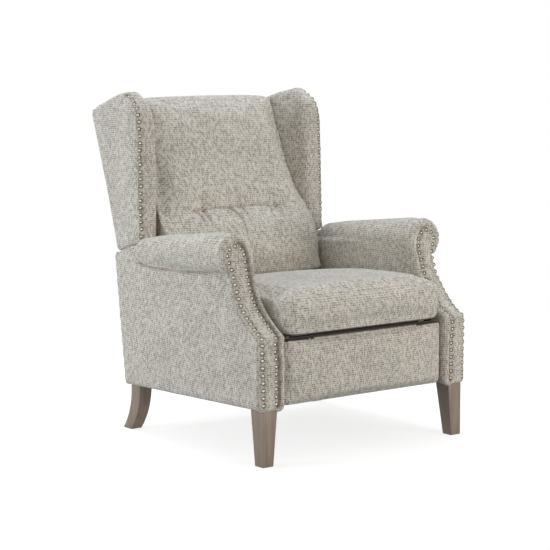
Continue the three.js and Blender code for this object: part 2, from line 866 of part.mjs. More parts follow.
function seatCushion() {
  const front = -seatOverhang;
  const noseBack = front + seatNoseLength;
  const noseTop = seatRearTop + seatTopShares[0][1] * (seatTop - seatRearTop);
  const nose = noseShares.map(([back, up]) => [
    front + back * seatNoseLength, seatBottom + up * (noseTop - seatBottom), up,
  ]);
  const top = seatTopShares.map(([back, up]) => [
    noseBack + back * (seatBack - noseBack), seatRearTop + up * (seatTop - seatRearTop), 1,
  ]);
  const section = [[seatBack, seatBottom, 0], [(seatBack + noseBack) / 2, seatBottom, 0], ...nose, ...top];
  const middleDepth = (front + seatBack) / 2;
  const middleHeight = (seatBottom + seatTop) / 2;
  const rings = stationsAcross(seatHalfWidth, seatEndRound, 12).map(([x, inward]) => {
    const shorter = 1 - inward / (seatBack - middleDepth);
    const lower = 1 - inward / (seatTop - middleHeight);
    const fallen = seatCrown * (x / seatHalfWidth) ** 2;
    return section.map(([y, z, up]) => [
      x,
      middleDepth + (y - middleDepth) * shorter,
      middleHeight + (z - fallen * up - middleHeight) * lower,
    ]);
  });
  return loft(rings);
}

// Footrest

const padFront = -padProud;
const padBack = padFront + padThickness;
const footBoardFront = padBack + seam;
const footBoardBack = footBoardFront + footBoardThickness;

function footrestPad() {
  const middle = (padBottom + padTop) / 2;
  const half = (padTop - padBottom) / 2;
  const rings = stationsAcross(padHalfWidth, padEdgeRound, 8).map(([x, inward]) => {
    const thinner = 1 - inward / padThickness;
    const level = 1 - (x / padHalfWidth) ** 4;
    const section = stationsAcross(half, padEdgeRound, 6).map(([up, drawn]) => {
      const crown = padCrown * level * (1 - (up / half) ** 4);
      return [padFront + padCrown - crown + drawn, up];
    });
    return [[padBack, -half], ...section, [padBack, half]].map(([y, up]) => [
      x, padBack + (y - padBack) * thinner, middle + up * (1 - inward / half),
    ]);
  });
  return loft(rings);
}

function hole(place, [x0, x1]) {
  return pin(place, pinRadius + pinPlay, x0 - overrun, x1 + overrun);
}

function addLinks() {
  const [one, two, three, four] = [1, 2, 3, 4].map(layer);
  const head = plateGap / 2;
  const frontLink = joined(
    cut(bar([frontPivot, frontKnee], linkHalfWidth, ...one), hole(frontPivot, one)),
    headedPin(frontKnee, one[1] - seam, two[1] + head, two[1]));
  addPair('front_link', frontLink, steel);

  const crank = bar([rearPivot, crankTip], linkHalfWidth * 0.75, ...one);
  const rearLink = joined(
    cut(joined(bar([rearPivot, rearFoot], linkHalfWidth, ...one), crank), hole(rearPivot, one)),
    pin(crankTip, pinRadius, one[1] - seam, yokeInner + plate + plateGap),
    headedPin(rearKnee, one[1] - seam, two[1] + head, two[1]),
    headedPin(rearFoot, one[1] - seam, four[1] + head, four[1]));
  addPair('rear_link', rearLink, steel);

  const longLink = cut(
    bar([rearKnee, frontKnee, upperHinge], linkHalfWidth, ...two),
    hole(rearKnee, two), hole(frontKnee, two), hole(upperHinge, two));
  addPair('long_link', longLink, steel);

  const shortLink = cut(
    bar([rearFoot, lowerHinge], linkHalfWidth, ...four), hole(rearFoot, four), hole(lowerHinge, four));
  addPair('short_link', shortLink, steel);

  const bracketLow = upperHinge[1] - bracketHeight * 0.7;
  const bracketBack = footBoardBack + seam;
  const flange = box(
    three[1] - bracketFlange, three[1], bracketBack, bracketBack + plate, bracketLow, bracketLow + bracketHeight);
  const web = plateAcross(outlineShape([
    [bracketBack, bracketLow], [bracketBack, bracketLow + bracketHeight],
    [upperHinge[0], upperHinge[1] + linkHalfWidth], [lowerHinge[0] + linkHalfWidth, lowerHinge[1]],
    [lowerHinge[0], lowerHinge[1] - linkHalfWidth],
  ]), ...three);
  const bracket = joined(
    web, flange,
    bar([upperHinge, lowerHinge], linkHalfWidth, ...three),
    headedPin(upperHinge, three[0] + seam, two[0] - head, two[0]),
    headedPin(lowerHinge, three[1] - seam, four[1] + head, four[1]));
  addPair('footrest_bracket', bracket, steel);

  const tubeAt = alongLink(rearPivot, tubeDistance);
  const tubeReach = one[0] - seam;
  add('footrest_tube', cut(
    pin(tubeAt, tubeRadius, -tubeReach, tubeReach),
    pin(tubeAt, tubeRadius - trackWall, -tubeReach - overrun, tubeReach + overrun)), steel());
}

function addFootrest() {
  const reach = padHalfWidth - footBoardInset;
  add('footrest_board', box(
    -reach, reach, footBoardFront, footBoardBack, padBottom + footBoardInset, padTop - footBoardInset), frameWood());
  add('footrest_pad', footrestPad(), fabric());
}

// Back, on a plane that leans by the rake

// A point at a distance up the rear skin and a distance forward of it.
function raked(up, forward) {
  return [
    skinDepth + up * Math.sin(rake) - forward * Math.cos(rake),
    skinHeight + up * Math.cos(rake) + forward * Math.sin(rake),
  ];
}

function rakedBox(x0, x1, up0, up1, forward0, forward1) {
  const outline = [raked(up0, forward0), raked(up1, forward0), raked(up1, forward1), raked(up0, forward1)];
  return plateAcross(outlineShape(outline), x0, x1);
}

const frameRear = skinThickness + seam;
const frameFront = frameRear + frameDepth;

function addBackFrame() {
  const inner = postOuter - postWidth;
  const wide = bracketInner - seam;
  addPair('back_post', rakedBox(
    inner, postOuter, seam - bottomRailTop, topRailBottom - seam, frameRear, frameFront), frameWood);
  add('back_bottom_rail', rakedBox(
    -wide, wide, -bottomRailTop - bottomRailHeight, -bottomRailTop, frameRear, frameFront), frameWood());
  add('back_top_rail', rakedBox(
    -postOuter, postOuter, topRailBottom, topRailBottom + topRailHeight, frameRear, frameFront), frameWood());
  add('back_mid_rail', rakedBox(
    seam - inner, inner - seam, midRailBottom, midRailBottom + midRailHeight, frameRear, frameFront), frameWood());
}

function addBackBrackets() {
  const pivot = [pivotDepth, pivotHeight];
  const ear = pivotEar;
  const low = raked(-bottomRailTop - bottomRailHeight, frameRear + ear / 2);
  const high = raked(-bottomRailTop, frameRear + ear / 2);
  const highFront = raked(-bottomRailTop, frameFront);
  const arm = bar([pivot, pushPin], linkHalfWidth * 1.2, bracketInner, bracketOuter);
  const body = plateAcross(outlineShape([
    low, high, highFront, [pivot[0] - ear / 2, pivot[1] + ear / 2], [pivot[0] + ear, pivot[1] - ear],
  ]), bracketInner, bracketOuter);
  const round = pin(pivot, ear, bracketInner, bracketOuter);
  const bore = pin(pivot, pivotRadius + pinPlay, bracketInner - overrun, bracketOuter + overrun);
  const push = pin(pushPin, pushPinRadius, seatPlateInner - plateGap, bracketInner + seam);
  addPair('back_bracket', joined(cut(joined(body, arm, round), bore), push), steel);
}

function addOuterBack() {
  const shape = new THREE.Shape();
  const shoulder = seam - wingHeelDrop;
  shape.moveTo(-skinLowerHalfWidth, -skinBottom);
  shape.lineTo(skinLowerHalfWidth, -skinBottom);
  shape.lineTo(skinLowerHalfWidth, shoulder);
  shape.lineTo(skinHalfWidth, shoulder);
  shape.lineTo(skinHalfWidth, skinTop - skinCornerRound);
  shape.quadraticCurveTo(skinHalfWidth, skinTop, skinHalfWidth - skinCornerRound, skinTop);
  shape.lineTo(skinCornerRound - skinHalfWidth, skinTop);
  shape.quadraticCurveTo(-skinHalfWidth, skinTop, -skinHalfWidth, skinTop - skinCornerRound);
  shape.lineTo(-skinHalfWidth, shoulder);
  shape.lineTo(-skinLowerHalfWidth, shoulder);
  const geometry = new THREE.ExtrudeGeometry(shape, { depth: skinThickness, bevelEnabled: false, curveSegments: 4 });
  const place = new THREE.Matrix4().makeBasis(
    new THREE.Vector3(1, 0, 0),
    new THREE.Vector3(0, Math.sin(rake), Math.cos(rake)),
    new THREE.Vector3(0, -Math.cos(rake), Math.sin(rake)));
  geometry.applyMatrix4(place).translate(0, skinDepth, skinHeight);
  add('outer_back', geometry, fabric());
}

// Wings

function wingInnerAt(depth) {
  return Math.max(postOuter + seam, wingInnerFront - wingFlare * (depth - wingFrontDepth));
}

// The padding on a wing's inner face thins out towards the top.
function wingThinningAt(height) {
  const above = Math.max(0, height - wingThinStart) / wingThinLength;
  return wingThinning * above ** 2;
}

function wingOuterAt(depth) {
  const rear = raked(skinTop, 0)[0];
  const share = (depth - wingFrontDepth) / (rear - wingFrontDepth);
  return wingOuterFront + (wingOuterRear - wingOuterFront) * share;
}

// Rings of points across a wing's inner face, as shares of the way to its middle.
const wingFaceShares = [0.8, 0.6, 0.4, 0.2];

// The front edge below the peak: shares of the way from the front to the peak, and up to it.
const wingEdgeShares = [
  [0.0, 0.0], [0.03, 0.2], [0.06, 0.42], [0.09, 0.6], [0.115, 0.72], [0.145, 0.8], [0.2, 0.866],
  [0.29, 0.906], [0.42, 0.934], [0.57, 0.957], [0.75, 0.979], [1.0, 1.0],
];

function wingOutline() {
  const rise = wingPeakHeight - wingBottomFront;
  const edge = wingEdgeShares.map(([back, up]) => [
    wingFrontDepth + back * (wingPeakDepth - wingFrontDepth), wingBottomFront + up * rise,
  ]);
  const topRear = raked(skinTop, frameRear);
  const nearRear = raked(skinTop - skinCornerRound, frameRear);
  const crest = [wingPeakDepth + (topRear[0] - wingPeakDepth) * wingCrestShare, wingPeakHeight - wingCrestDrop];
  const bottomRear = raked(seam - wingHeelDrop, frameRear);
  return [
    ...edge, crest,
    [(crest[0] + topRear[0]) / 2, (crest[1] + topRear[1]) / 2],
    [topRear[0] - skinCornerRound, topRear[1] + skinCornerRound / 3],
    nearRear,
    raked(skinTop / 2, frameRear),
    bottomRear,
    [(bottomRear[0] + wingFrontDepth) / 2, (bottomRear[1] + wingBottomFront) / 2],
  ];
}

function wingBoardInnerAt(depth) {
  return wingInnerFront + wingBoardCover - wingFlare * (depth - wingFrontDepth);
}

// The board's outline stops at the rear where its inner face reaches the post, and below the thin top.
function wingBoardOutline(margin, past) {
  const narrowing = wingInnerFront + wingBoardCover - postOuter - seam;
  const rearLimit = wingFrontDepth + narrowing / wingFlare + past;
  const topLimit = wingPeakHeight - wingBoardDrop + wingBoardInset - margin;
  return inset(wingOutline(), margin).map(([y, z]) => [Math.min(y, rearLimit), Math.min(z, topLimit)]);
}

function leanSlab(outline, innerAt, outerAt) {
  const rings = [innerAt, outerAt].map((faceAt) => outline.map(([y, z]) => [faceAt(y, z), y, z]));
  return loft(rings);
}

function wingBlank() {
  const innerFace = (y, z) => wingInnerAt(y) + wingThinningAt(z);
  return softSlab(wingOutline(), innerFace, wingOuterAt, wingEdgeRound, wingFaceShares);
}

function addWings() {
  const boardInnerFace = (y) => wingBoardInnerAt(y);
  const boardOuterFace = (y) => wingBoardInnerAt(y) + wingBoardThickness;
  const board = leanSlab(wingBoardOutline(wingBoardInset, 0), boardInnerFace, boardOuterFace);
  const slot = leanSlab(
    wingBoardOutline(wingBoardInset - seam, overrun),
    (y) => boardInnerFace(y) - seam, (y) => boardOuterFace(y) + seam);
  const postSlot = rakedBox(0, postOuter + seam, -skinBottom, skinTop + overrun, -overrun, frameFront + skinTop);
  addPair('wing_board', board, frameWood);
  addPair('wing', cut(wingBlank(), slot, postSlot), fabric);
}

// Back cushion: its front at the chair's middle, up and over the top, as shares of its depth and height.
const cushionFrontShares = [
  [0.003, 0], [0, 0.059], [0.017, 0.141], [0.061, 0.22], [0.128, 0.284], [0.198, 0.33], [0.228, 0.356],
  [0.256, 0.389], [0.309, 0.451], [0.37, 0.527], [0.432, 0.609], [0.479, 0.692], [0.526, 0.774],
  [0.582, 0.857], [0.638, 0.93], [0.702, 0.982], [0.783, 1], [0.889, 0.983], [1, 0.956],
];
const cushionTopCorner = cushionFrontShares.findIndex(([, up]) => up > 0.95);
const cushionRear = raked(skinTop, cushionRearCover)[0];
const cushionProfile = cushionFrontShares.map(([back, up]) => [
  cushionFront + back * (cushionRear - cushionFront), cushionBottom + up * (cushionTop - cushionBottom),
]);

function profileDepthAt(height) {
  const above = Math.max(1, cushionProfile.findIndex(([, z]) => z >= height));
  const [y0, z0] = cushionProfile[above - 1];
  const [y1, z1] = cushionProfile[above];
  return y0 + (y1 - y0) * (height - z0) / (z1 - z0);
}

// The cushion meets the wings where its edge has fallen back this far.
function edgeDropAt(height) {
  const share = (height - cushionDropStart) / (cushionProfile[cushionTopCorner][1] - cushionDropStart);
  return cushionEdgeDrop + (cushionTopDrop - cushionEdgeDrop) * Math.min(1, Math.max(0, share));
}

function cushionHalfWidthAt(height) {
  const level = Math.min(height, cushionProfile[cushionTopCorner][1]);
  const meets = profileDepthAt(level) + edgeDropAt(level) + cushionSidePlay;
  const betweenWings = wingInnerFront - wingFlare * (meets - wingFrontDepth) + wingThinningAt(level);
  return Math.min(cushionHalfWidth, betweenWings - cushionSidePlay);
}

function tuftPitAt(x, height) {
  const row = creaseDepth * Math.exp(-(((height - tuftHeight) / creaseReach) ** 2));
  const pits = [-tuftSpacing, 0, tuftSpacing].map((place) => {
    const distance = Math.hypot(x - place, height - tuftHeight);
    return (tuftDepth - creaseDepth) * Math.exp(-((distance / tuftReach) ** 2));
  });
  return row + pits.reduce((sum, pit) => sum + pit, 0);
}

function cushionRing(across, rear) {
  const edge = 1 - Math.sqrt(1 - Math.abs(across) ** 5);
  const front = cushionProfile.map(([y, z], i) => {
    const x = across * cushionHalfWidthAt(z);
    const lowered = i > cushionTopCorner ? cushionTopDrop * edge : 0;
    return [x, y + tuftPitAt(x, z) * (1 - edge) + edgeDropAt(z) * edge, z - lowered];
  });
  const railLevel = rear[1][1];
  const betweenPosts = postOuter - cushionPostPlay;
  const behind = rear.map(([y, z]) => {
    const wide = cushionHalfWidthAt(Math.max(z, cushionBottom));
    const x = across * (z < railLevel ? wide : Math.min(wide, postOuter - cushionSidePlay));
    const wingFace = wingFrontDepth + (wingInnerFront - Math.abs(x) - cushionSidePlay / 2) / wingFlare;
    const pastPost = z < railLevel && Math.abs(x) > betweenPosts;
    return [x, pastPost ? Math.min(y, wingFace) : y, z];
  });
  return [...front, ...behind];
}

function backCushion() {
  const overRail = topRailBottom + topRailHeight + seam;
  const railFront = raked(overRail, frameFront + seam);
  const lowest = (cushionBottom - railFront[1]) / Math.cos(rake);
  const rear = [raked(skinTop - cushionRearDrop, frameRear), raked(overRail, frameRear)];
  const rearSteps = 6;
  for (let k = 0; k <= rearSteps; k += 1) {
    rear.push(raked(overRail + lowest * (k / rearSteps), frameFront + seam));
  }
  const stations = 24;
  const rings = [];
  for (let k = 0; k <= stations; k += 1) {
    const even = 2 * k / stations - 1;
    const gathered = -Math.cos((k / stations) * Math.PI);
    rings.push(cushionRing((even + gathered) / 2, rear));
  }
  const room = wingBlank().translate(-cushionSidePlay / 2, 0, 0);
  return cut(loft(rings), room, mirrored(room));
}

addArms();
addLegs();
addStretchers();
addBasePlates();
addTracks();
addSeatPlates();
addSeatFrame();
addSprings();
add('seat_cushion', seatCushion(), fabric());
addLinks();
addFootrest();
addBackFrame();
addBackBrackets();
addOuterBack();
addWings();
add('back_cushion', backCushion(), fabric());

// The chair stands centred on its length.
const rearmost = raked(skinTop, 0)[0];
chair.position.y = -(rearmost - seatOverhang) / 2;

export default chair;
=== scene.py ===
import json
import math

import bpy
import numpy as np
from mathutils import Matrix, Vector
from mathutils.bvhtree import BVHTree
from mathutils.kdtree import KDTree


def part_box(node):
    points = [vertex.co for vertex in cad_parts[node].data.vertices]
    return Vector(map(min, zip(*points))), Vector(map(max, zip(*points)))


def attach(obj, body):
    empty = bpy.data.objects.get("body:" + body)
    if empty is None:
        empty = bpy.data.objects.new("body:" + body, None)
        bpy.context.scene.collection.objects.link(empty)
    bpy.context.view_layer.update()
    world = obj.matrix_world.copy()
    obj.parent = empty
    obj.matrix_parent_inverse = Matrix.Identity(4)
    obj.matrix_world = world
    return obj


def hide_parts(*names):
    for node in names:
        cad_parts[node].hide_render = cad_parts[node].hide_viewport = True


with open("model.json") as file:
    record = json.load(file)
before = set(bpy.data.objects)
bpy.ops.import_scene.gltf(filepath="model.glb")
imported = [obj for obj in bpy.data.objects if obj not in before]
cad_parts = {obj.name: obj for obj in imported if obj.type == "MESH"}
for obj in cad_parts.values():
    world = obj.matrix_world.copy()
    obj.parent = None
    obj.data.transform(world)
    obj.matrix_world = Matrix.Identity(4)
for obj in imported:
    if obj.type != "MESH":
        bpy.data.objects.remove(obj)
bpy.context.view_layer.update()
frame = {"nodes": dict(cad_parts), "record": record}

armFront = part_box("arm_cover_left")[0].y  # depths below are measured back from here
bothSides = ((1, "left"), (-1, "right"))
weldDistance = 0.00001
lineStep = 0.002  # between the points that grooves and creases are measured from

print("frame loaded")


# Handling pieces

def takeUp(*pieces):
    if bpy.context.object and bpy.context.object.mode != "OBJECT":
        bpy.ops.object.mode_set(mode="OBJECT")
    bpy.ops.object.select_all(action="DESELECT")
    for piece in pieces:
        piece.select_set(True)
    bpy.context.view_layer.objects.active = pieces[0]


def editAll(piece):
    takeUp(piece)
    bpy.ops.object.mode_set(mode="EDIT")
    bpy.ops.mesh.select_all(action="SELECT")


def backToObject():
    bpy.ops.object.mode_set(mode="OBJECT")


def pointsOf(piece):
    flat = np.empty(len(piece.data.vertices) * 3, np.float32)
    piece.data.vertices.foreach_get("co", flat)
    return flat.reshape(-1, 3).astype(float)


def normalsOf(piece):
    flat = np.empty(len(piece.data.vertices) * 3, np.float32)
    piece.data.vertex_normals.foreach_get("vector", flat)
    return flat.reshape(-1, 3).astype(float)


def setPoints(piece, points):
    piece.data.vertices.foreach_set("co", points.astype(np.float32).ravel())
    piece.data.update()


def pushOut(piece, amount):
    setPoints(piece, pointsOf(piece) + normalsOf(piece) * amount[:, None])


def applied(piece, kind, **settings):
    takeUp(piece)
    modifier = piece.modifiers.new(kind.lower(), kind)
    for key, value in settings.items():
        setattr(modifier, key, value)
    bpy.ops.object.modifier_apply(modifier=modifier.name)


def copyOfNode(node, name):
    piece = bpy.data.objects.new(name, frame["nodes"][node].data.copy())
    bpy.context.scene.collection.objects.link(piece)
    piece.data.materials.clear()
    editAll(piece)
    bpy.ops.mesh.remove_doubles(threshold=weldDistance)
    bpy.ops.mesh.normals_make_consistent(inside=False)
    backToObject()
    return piece


def mouldedFrom(node, name, shape):
    # a fabric form over the solid: even small faces, edges eased
    piece = copyOfNode(node, name)
    applied(piece, "REMESH", mode="VOXEL", voxel_size=shape["voxel"], use_smooth_shade=True)
    applied(piece, "SMOOTH", factor=0.5, iterations=shape["softening"])
    return piece


def relax(piece):
    applied(piece, "SMOOTH", factor=0.3, iterations=1)


def subdivideWhere(piece, wanted):
    # splits the faces whose vertices are all wanted
    takeUp(piece)
    mesh = piece.data
    flags = [bool(flag) for flag in wanted]
    bpy.ops.object.mode_set(mode="EDIT")
    bpy.ops.mesh.select_mode(type="FACE")
    bpy.ops.mesh.select_all(action="DESELECT")
    backToObject()
    for face in mesh.polygons:
        face.select = all(flags[v] for v in face.vertices)
    bpy.ops.object.mode_set(mode="EDIT")
    bpy.ops.mesh.subdivide(number_cuts=1, smoothness=0.6)
    backToObject()
    takeUp(piece)
    bpy.ops.object.shade_smooth()


def nearestOn(path, points):
    # distance to a row of path points, and which one is nearest
    tree = KDTree(len(path))
    for index, place in enumerate(path):
        tree.insert(place, index)
    tree.balance()
    found = [tree.find(point) for point in points]
    return np.array([row[2] for row in found]), np.array([row[1] for row in found])


def bell(distance, width):
    return np.exp(-((distance / width) ** 2))


# Ramps from 0 to 1: each takes a pair from a piece's values, a start and a slope or an end and a width

def steep(value, start, slope):
    return np.clip((value - start) * slope, 0, 1)


def rising(value, start, width):
    return np.clip((value - start) / width, 0, 1)


def falling(value, end, width):
    return np.clip((end - value) / width, 0, 1)


def paintCreaseShade(piece, depth):
    # painted shade: how deep each spot lies in a crease, which darkens the cloth's colour; over 1 it is painted
    # black for a gap without light
    mark = piece.data.attributes.new("paintedShade", "FLOAT", "POINT")
    mark.data.foreach_set("value", np.clip(depth, 0, paintedGapShadow).astype(np.float32))


def treeOf(piece):
    graph = bpy.context.evaluated_depsgraph_get()
    return BVHTree.FromObject(piece, graph)


def swell(piece, shape, hold, pressure=4.0, frames=12):
    # drawn in, then blown up as cloth, with each move capped and held back where hold is 0
    pushOut(piece, -shape["shrink"] * hold)
    rest = pointsOf(piece)
    takeUp(piece)
    cloth = piece.modifiers.new("filling", "CLOTH")
    cloth.settings.use_pressure = True
    cloth.settings.uniform_pressure_force = pressure
    cloth.settings.effector_weights.gravity = 0
    scene = bpy.context.scene
    scene.frame_start = 1
    scene.frame_end = frames
    for number in range(1, frames + 1):
        scene.frame_set(number)
    graph = bpy.context.evaluated_depsgraph_get()
    blown = pointsOf(piece.evaluated_get(graph))
    piece.modifiers.remove(cloth)
    scene.frame_set(1)
    move = blown - rest
    length = np.linalg.norm(move, axis=1)
    share = np.minimum(1, shape["cap"] / np.maximum(length, 1e-9)) * hold
    setPoints(piece, rest + move * share[:, None])


def weaveMap(piece, overTop="y"):
    # lays the cloth flat on each side in metres: along and up
    mesh = piece.data
    for layer in list(mesh.uv_layers):
        mesh.uv_layers.remove(layer)
    layer = mesh.uv_layers.new(name="weave")
    corners = np.empty(len(mesh.loops), np.int32)
    mesh.loops.foreach_get("vertex_index", corners)
    counts = np.empty(len(mesh.polygons), np.int32)
    mesh.polygons.foreach_get("loop_total", counts)
    facing = np.empty(len(mesh.polygons) * 3, np.float32)
    mesh.polygons.foreach_get("normal", facing)
    facing = np.abs(facing.reshape(-1, 3))
    leaning = [1.0, 1.02, 0.98]  # settles which side a slanting face belongs to
    side = np.repeat(np.argmax(facing * leaning, axis=1), counts)
    place = pointsOf(piece)[corners]
    x, y, z = place.T
    along = np.choose(side, [y, x, y if overTop == "y" else x])
    up = np.choose(side, [z, z, x if overTop == "y" else y])
    layer.data.foreach_set("uv", np.stack([along, up], 1).astype(np.float32).ravel())


def dress(piece, material, body, nodes, slot="upholstery", overTop="y"):
    if slot == "upholstery":
        weaveMap(piece, overTop)
    piece.data.materials.clear()
    piece.data.materials.append(material)
    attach(piece, body)
    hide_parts(*nodes)


# Shared finishes

def linear(red, green, blue):
    def channel(value):
        value /= 255
        return value / 12.92 if value <= 0.04045 else ((value + 0.055) / 1.055) ** 2.4
    return (channel(red), channel(green), channel(blue), 1)


groupOutputs = {"Color": "Color", "Height": "Float", "Roughness": "Float"}


def newGroup(name, inputs, outputs):
    group = bpy.data.node_groups.new(name, "ShaderNodeTree")
    for way, sockets in (("INPUT", inputs), ("OUTPUT", outputs)):
        for label, kind in sockets.items():
            group.interface.new_socket(name=label, in_out=way, socket_type="NodeSocket" + kind)
    start = group.nodes.new("NodeGroupInput")
    end = group.nodes.new("NodeGroupOutput")
    return group, start, end


class Maker:
    # short forms for placing nodes in one tree
    def __init__(self, tree):
        self.tree = tree

    def join(self, source, target):
        self.tree.links.new(source, target)

    def put(self, kind, **settings):
        node = self.tree.nodes.new("ShaderNode" + kind)
        for key, value in settings.items():
            setattr(node, key, value)
        return node

    def feed(self, socket, value):
        if isinstance(value, bpy.types.NodeSocket):
            self.join(value, socket)
        else:
            socket.default_value = value

    def stretched(self, vector, scale, shift=(0, 0, 0)):
        node = self.put("Mapping")
        self.feed(node.inputs["Vector"], vector)
        node.inputs["Scale"].default_value = scale
        node.inputs["Location"].default_value = shift
        return node.outputs["Vector"]

    def noise(self, vector, scale=1.0, detail=2.0, roughness=0.5, flat=False):
        node = self.put("TexNoise")
        if flat:
            node.noise_dimensions = "2D"
        self.feed(node.inputs["Vector"], vector)
        node.inputs["Scale"].default_value = scale
        node.inputs["Detail"].default_value = detail
        node.inputs["Roughness"].default_value = roughness
        return node.outputs["Fac"]

    def spread(self, value, low, high, toLow=0.0, toHigh=1.0):
        node = self.put("MapRange", clamp=True)
        self.feed(node.inputs["Value"], value)
        for label, number in (("From Min", low), ("From Max", high), ("To Min", toLow), ("To Max", toHigh)):
            node.inputs[label].default_value = number
        return node.outputs["Result"]

    def sum(self, kind, first, second=0.0):
        node = self.put("Math", operation=kind)
        self.feed(node.inputs[0], first)
        self.feed(node.inputs[1], second)
        return node.outputs["Value"]

    def mixed(self, share, first, second, kind="MIX"):
        node = self.put("Mix", data_type="RGBA", blend_type=kind)
        self.feed(node.inputs["Factor"], share)
        self.feed(node.inputs[6], first)
        self.feed(node.inputs[7], second)
        return node.outputs[2]

    def shaded(self, colour, shade):
        grey = self.put("CombineColor")
        for label in ("Red", "Green", "Blue"):
            self.join(shade, grey.inputs[label])
        return self.mixed(1.0, colour, grey.outputs["Color"], "MULTIPLY")


weave = {
    "pitches": (0.0039, 0.0061),
    "driftScale": (28, 28, 1),
    "drift": (0.0022, 0.0022, 0),
    "yarnStart": 4.618,
    # of each yarn: how far apart neighbours lie in the noise, how fast it changes along them, the seed, and the
    # noise values between which it comes up
    "darkUp": (7.37, 76, 3.1, 0.45, 0.61),
    "darkAcross": (6.71, 75, 9.7, 0.54, 0.68),
    "paleUp": (9.13, 45, 15.3, 0.50, 0.66),
    "warmUp": (8.61, 22, 21.9, 0.50, 0.66),
    "cloudScale": (14, 9, 1),
    "cloudShift": (1.7, 4.2, 0),
    "cloudShades": (0.3, 0.7, 0.95, 1.04),
    "dotAcross": (0.02, 0.22),
    "dotUp": (0.12, 0.36, 0.28, 1.0),
    "dashUp": (0.18, 0.36),
    "faintDot": 0.22,
    "dashShare": 0.45,
    "warmShare": 0.35,
    "paleShare": 0.45,
    # painted shadow for gaps: how far a mark past 1 takes the colour to near black, and that black
    "gapShare": 0.85,
    "gapShade": (0.004, 0.004, 0.004, 1),
}
# a painted shade mark this high paints a gap fully black
paintedGapShadow = 2


def makeTweedWeave():
    # fine tweed on flat coordinates in metres: dark and pale lengths of yarn that surface as dots in columns
    group, start, end = newGroup(
        "tweedWeave",
        {"Cloth": "Vector", "Ground": "Color", "Light Yarn": "Color", "Warm Yarn": "Color", "Dark Fleck": "Color",
         "Fleck Amount": "Float", "Painted Shade Depth": "Float", "Painted Shade Colour": "Color"},
        groupOutputs)
    make = Maker(group)
    cloth = start.outputs["Cloth"]
    # the yarns waver a little
    drift = make.put("TexNoise", noise_dimensions="2D")
    make.join(make.stretched(cloth, weave["driftScale"]), drift.inputs["Vector"])
    drift.inputs["Scale"].default_value = 1
    drift.inputs["Detail"].default_value = 1
    push = make.put("VectorMath", operation="MULTIPLY_ADD")
    make.join(drift.outputs["Color"], push.inputs[0])
    push.inputs[1].default_value = weave["drift"]
    make.join(cloth, push.inputs[2])
    split = make.put("SeparateXYZ")
    make.join(push.outputs["Vector"], split.inputs["Vector"])
    across, up = split.outputs["X"], split.outputs["Y"]
    count = []
    bead = []
    for value, pitch in zip((across, up), weave["pitches"]):
        counted = make.sum("DIVIDE", value, pitch)
        count.append(make.sum("FLOOR", counted))
        bead.append(make.sum("PINGPONG", make.sum("FRACT", counted), 0.5))
    column, row = count

    def lengthOfYarn(yarn, along, apart, stretch, seed, low, high):
        # each yarn turns darker or paler over a stretch of its own
        place = make.put("CombineXYZ")
        make.join(make.sum("MULTIPLY", yarn, apart), place.inputs["X"])
        begun = make.sum("MULTIPLY", yarn, weave["yarnStart"])
        make.join(make.sum("ADD", make.sum("MULTIPLY", along, stretch), begun), place.inputs["Y"])
        seeded = make.stretched(place.outputs["Vector"], (1, 1, 1), (seed, seed * 0.7, 0))
        return make.spread(make.noise(seeded, detail=1, flat=True), low, high)

    darkUp = lengthOfYarn(column, up, *weave["darkUp"])
    darkAcross = lengthOfYarn(row, across, *weave["darkAcross"])
    paleUp = lengthOfYarn(column, up, *weave["paleUp"])
    warmUp = lengthOfYarn(column, up, *weave["warmUp"])
    cloudy = make.noise(make.stretched(cloth, weave["cloudScale"], weave["cloudShift"]), detail=3, flat=True)
    endOn = make.sum("MULTIPLY", make.spread(bead[0], *weave["dotAcross"]), make.spread(bead[1], *weave["dotUp"]))
    dots = make.sum("MULTIPLY", endOn, make.spread(darkUp, 0, 1, weave["faintDot"], 1.0))
    dash = make.sum("MULTIPLY", darkAcross, weave["dashShare"])
    dashes = make.sum("MULTIPLY", make.spread(bead[1], *weave["dashUp"]), dash)
    fleck = make.sum("MAXIMUM", dots, dashes)
    warm = make.sum("MULTIPLY", warmUp, weave["warmShare"])
    colour = make.mixed(warm, start.outputs["Ground"], start.outputs["Warm Yarn"])
    colour = make.mixed(make.sum("MULTIPLY", paleUp, weave["paleShare"]), colour, start.outputs["Light Yarn"])
    dark = make.sum("MULTIPLY", fleck, start.outputs["Fleck Amount"])
    colour = make.mixed(dark, colour, start.outputs["Dark Fleck"])
    yarnShade = make.spread(darkUp, 0, 1, 1.01, 0.99)
    colour = make.shaded(colour, make.sum("MULTIPLY", yarnShade, make.spread(cloudy, *weave["cloudShades"])))
    # painted shade: the colour darkens towards the crease colour by the painted mark, and to near black past 1 for
    # gaps
    colour = make.mixed(start.outputs["Painted Shade Depth"], colour, start.outputs["Painted Shade Colour"])
    gap = make.spread(start.outputs["Painted Shade Depth"], 1.0, paintedGapShadow, 0, weave["gapShare"])
    colour = make.mixed(gap, colour, weave["gapShade"])
    height = make.sum("SUBTRACT", make.sum("MULTIPLY", paleUp, 0.4), make.sum("MULTIPLY", fleck, 0.8))
    make.join(colour, end.inputs["Color"])
    make.join(height, end.inputs["Height"])
    make.join(make.spread(paleUp, 0, 1, 0.96, 0.88), end.inputs["Roughness"])
    return group


grain = {
    "rings": (90, 90, 5),
    "pores": (900, 900, 28),
    "blotch": (16, 16, 9),
    "band": (0.35, 0.65),
    "pore": (0.55, 0.72),
    "poreShare": 0.35,
    "blotchShades": (0.3, 0.7, 0.92, 1.07),
    "roughness": (0.3, 0.7, 0.42, 0.6),
}


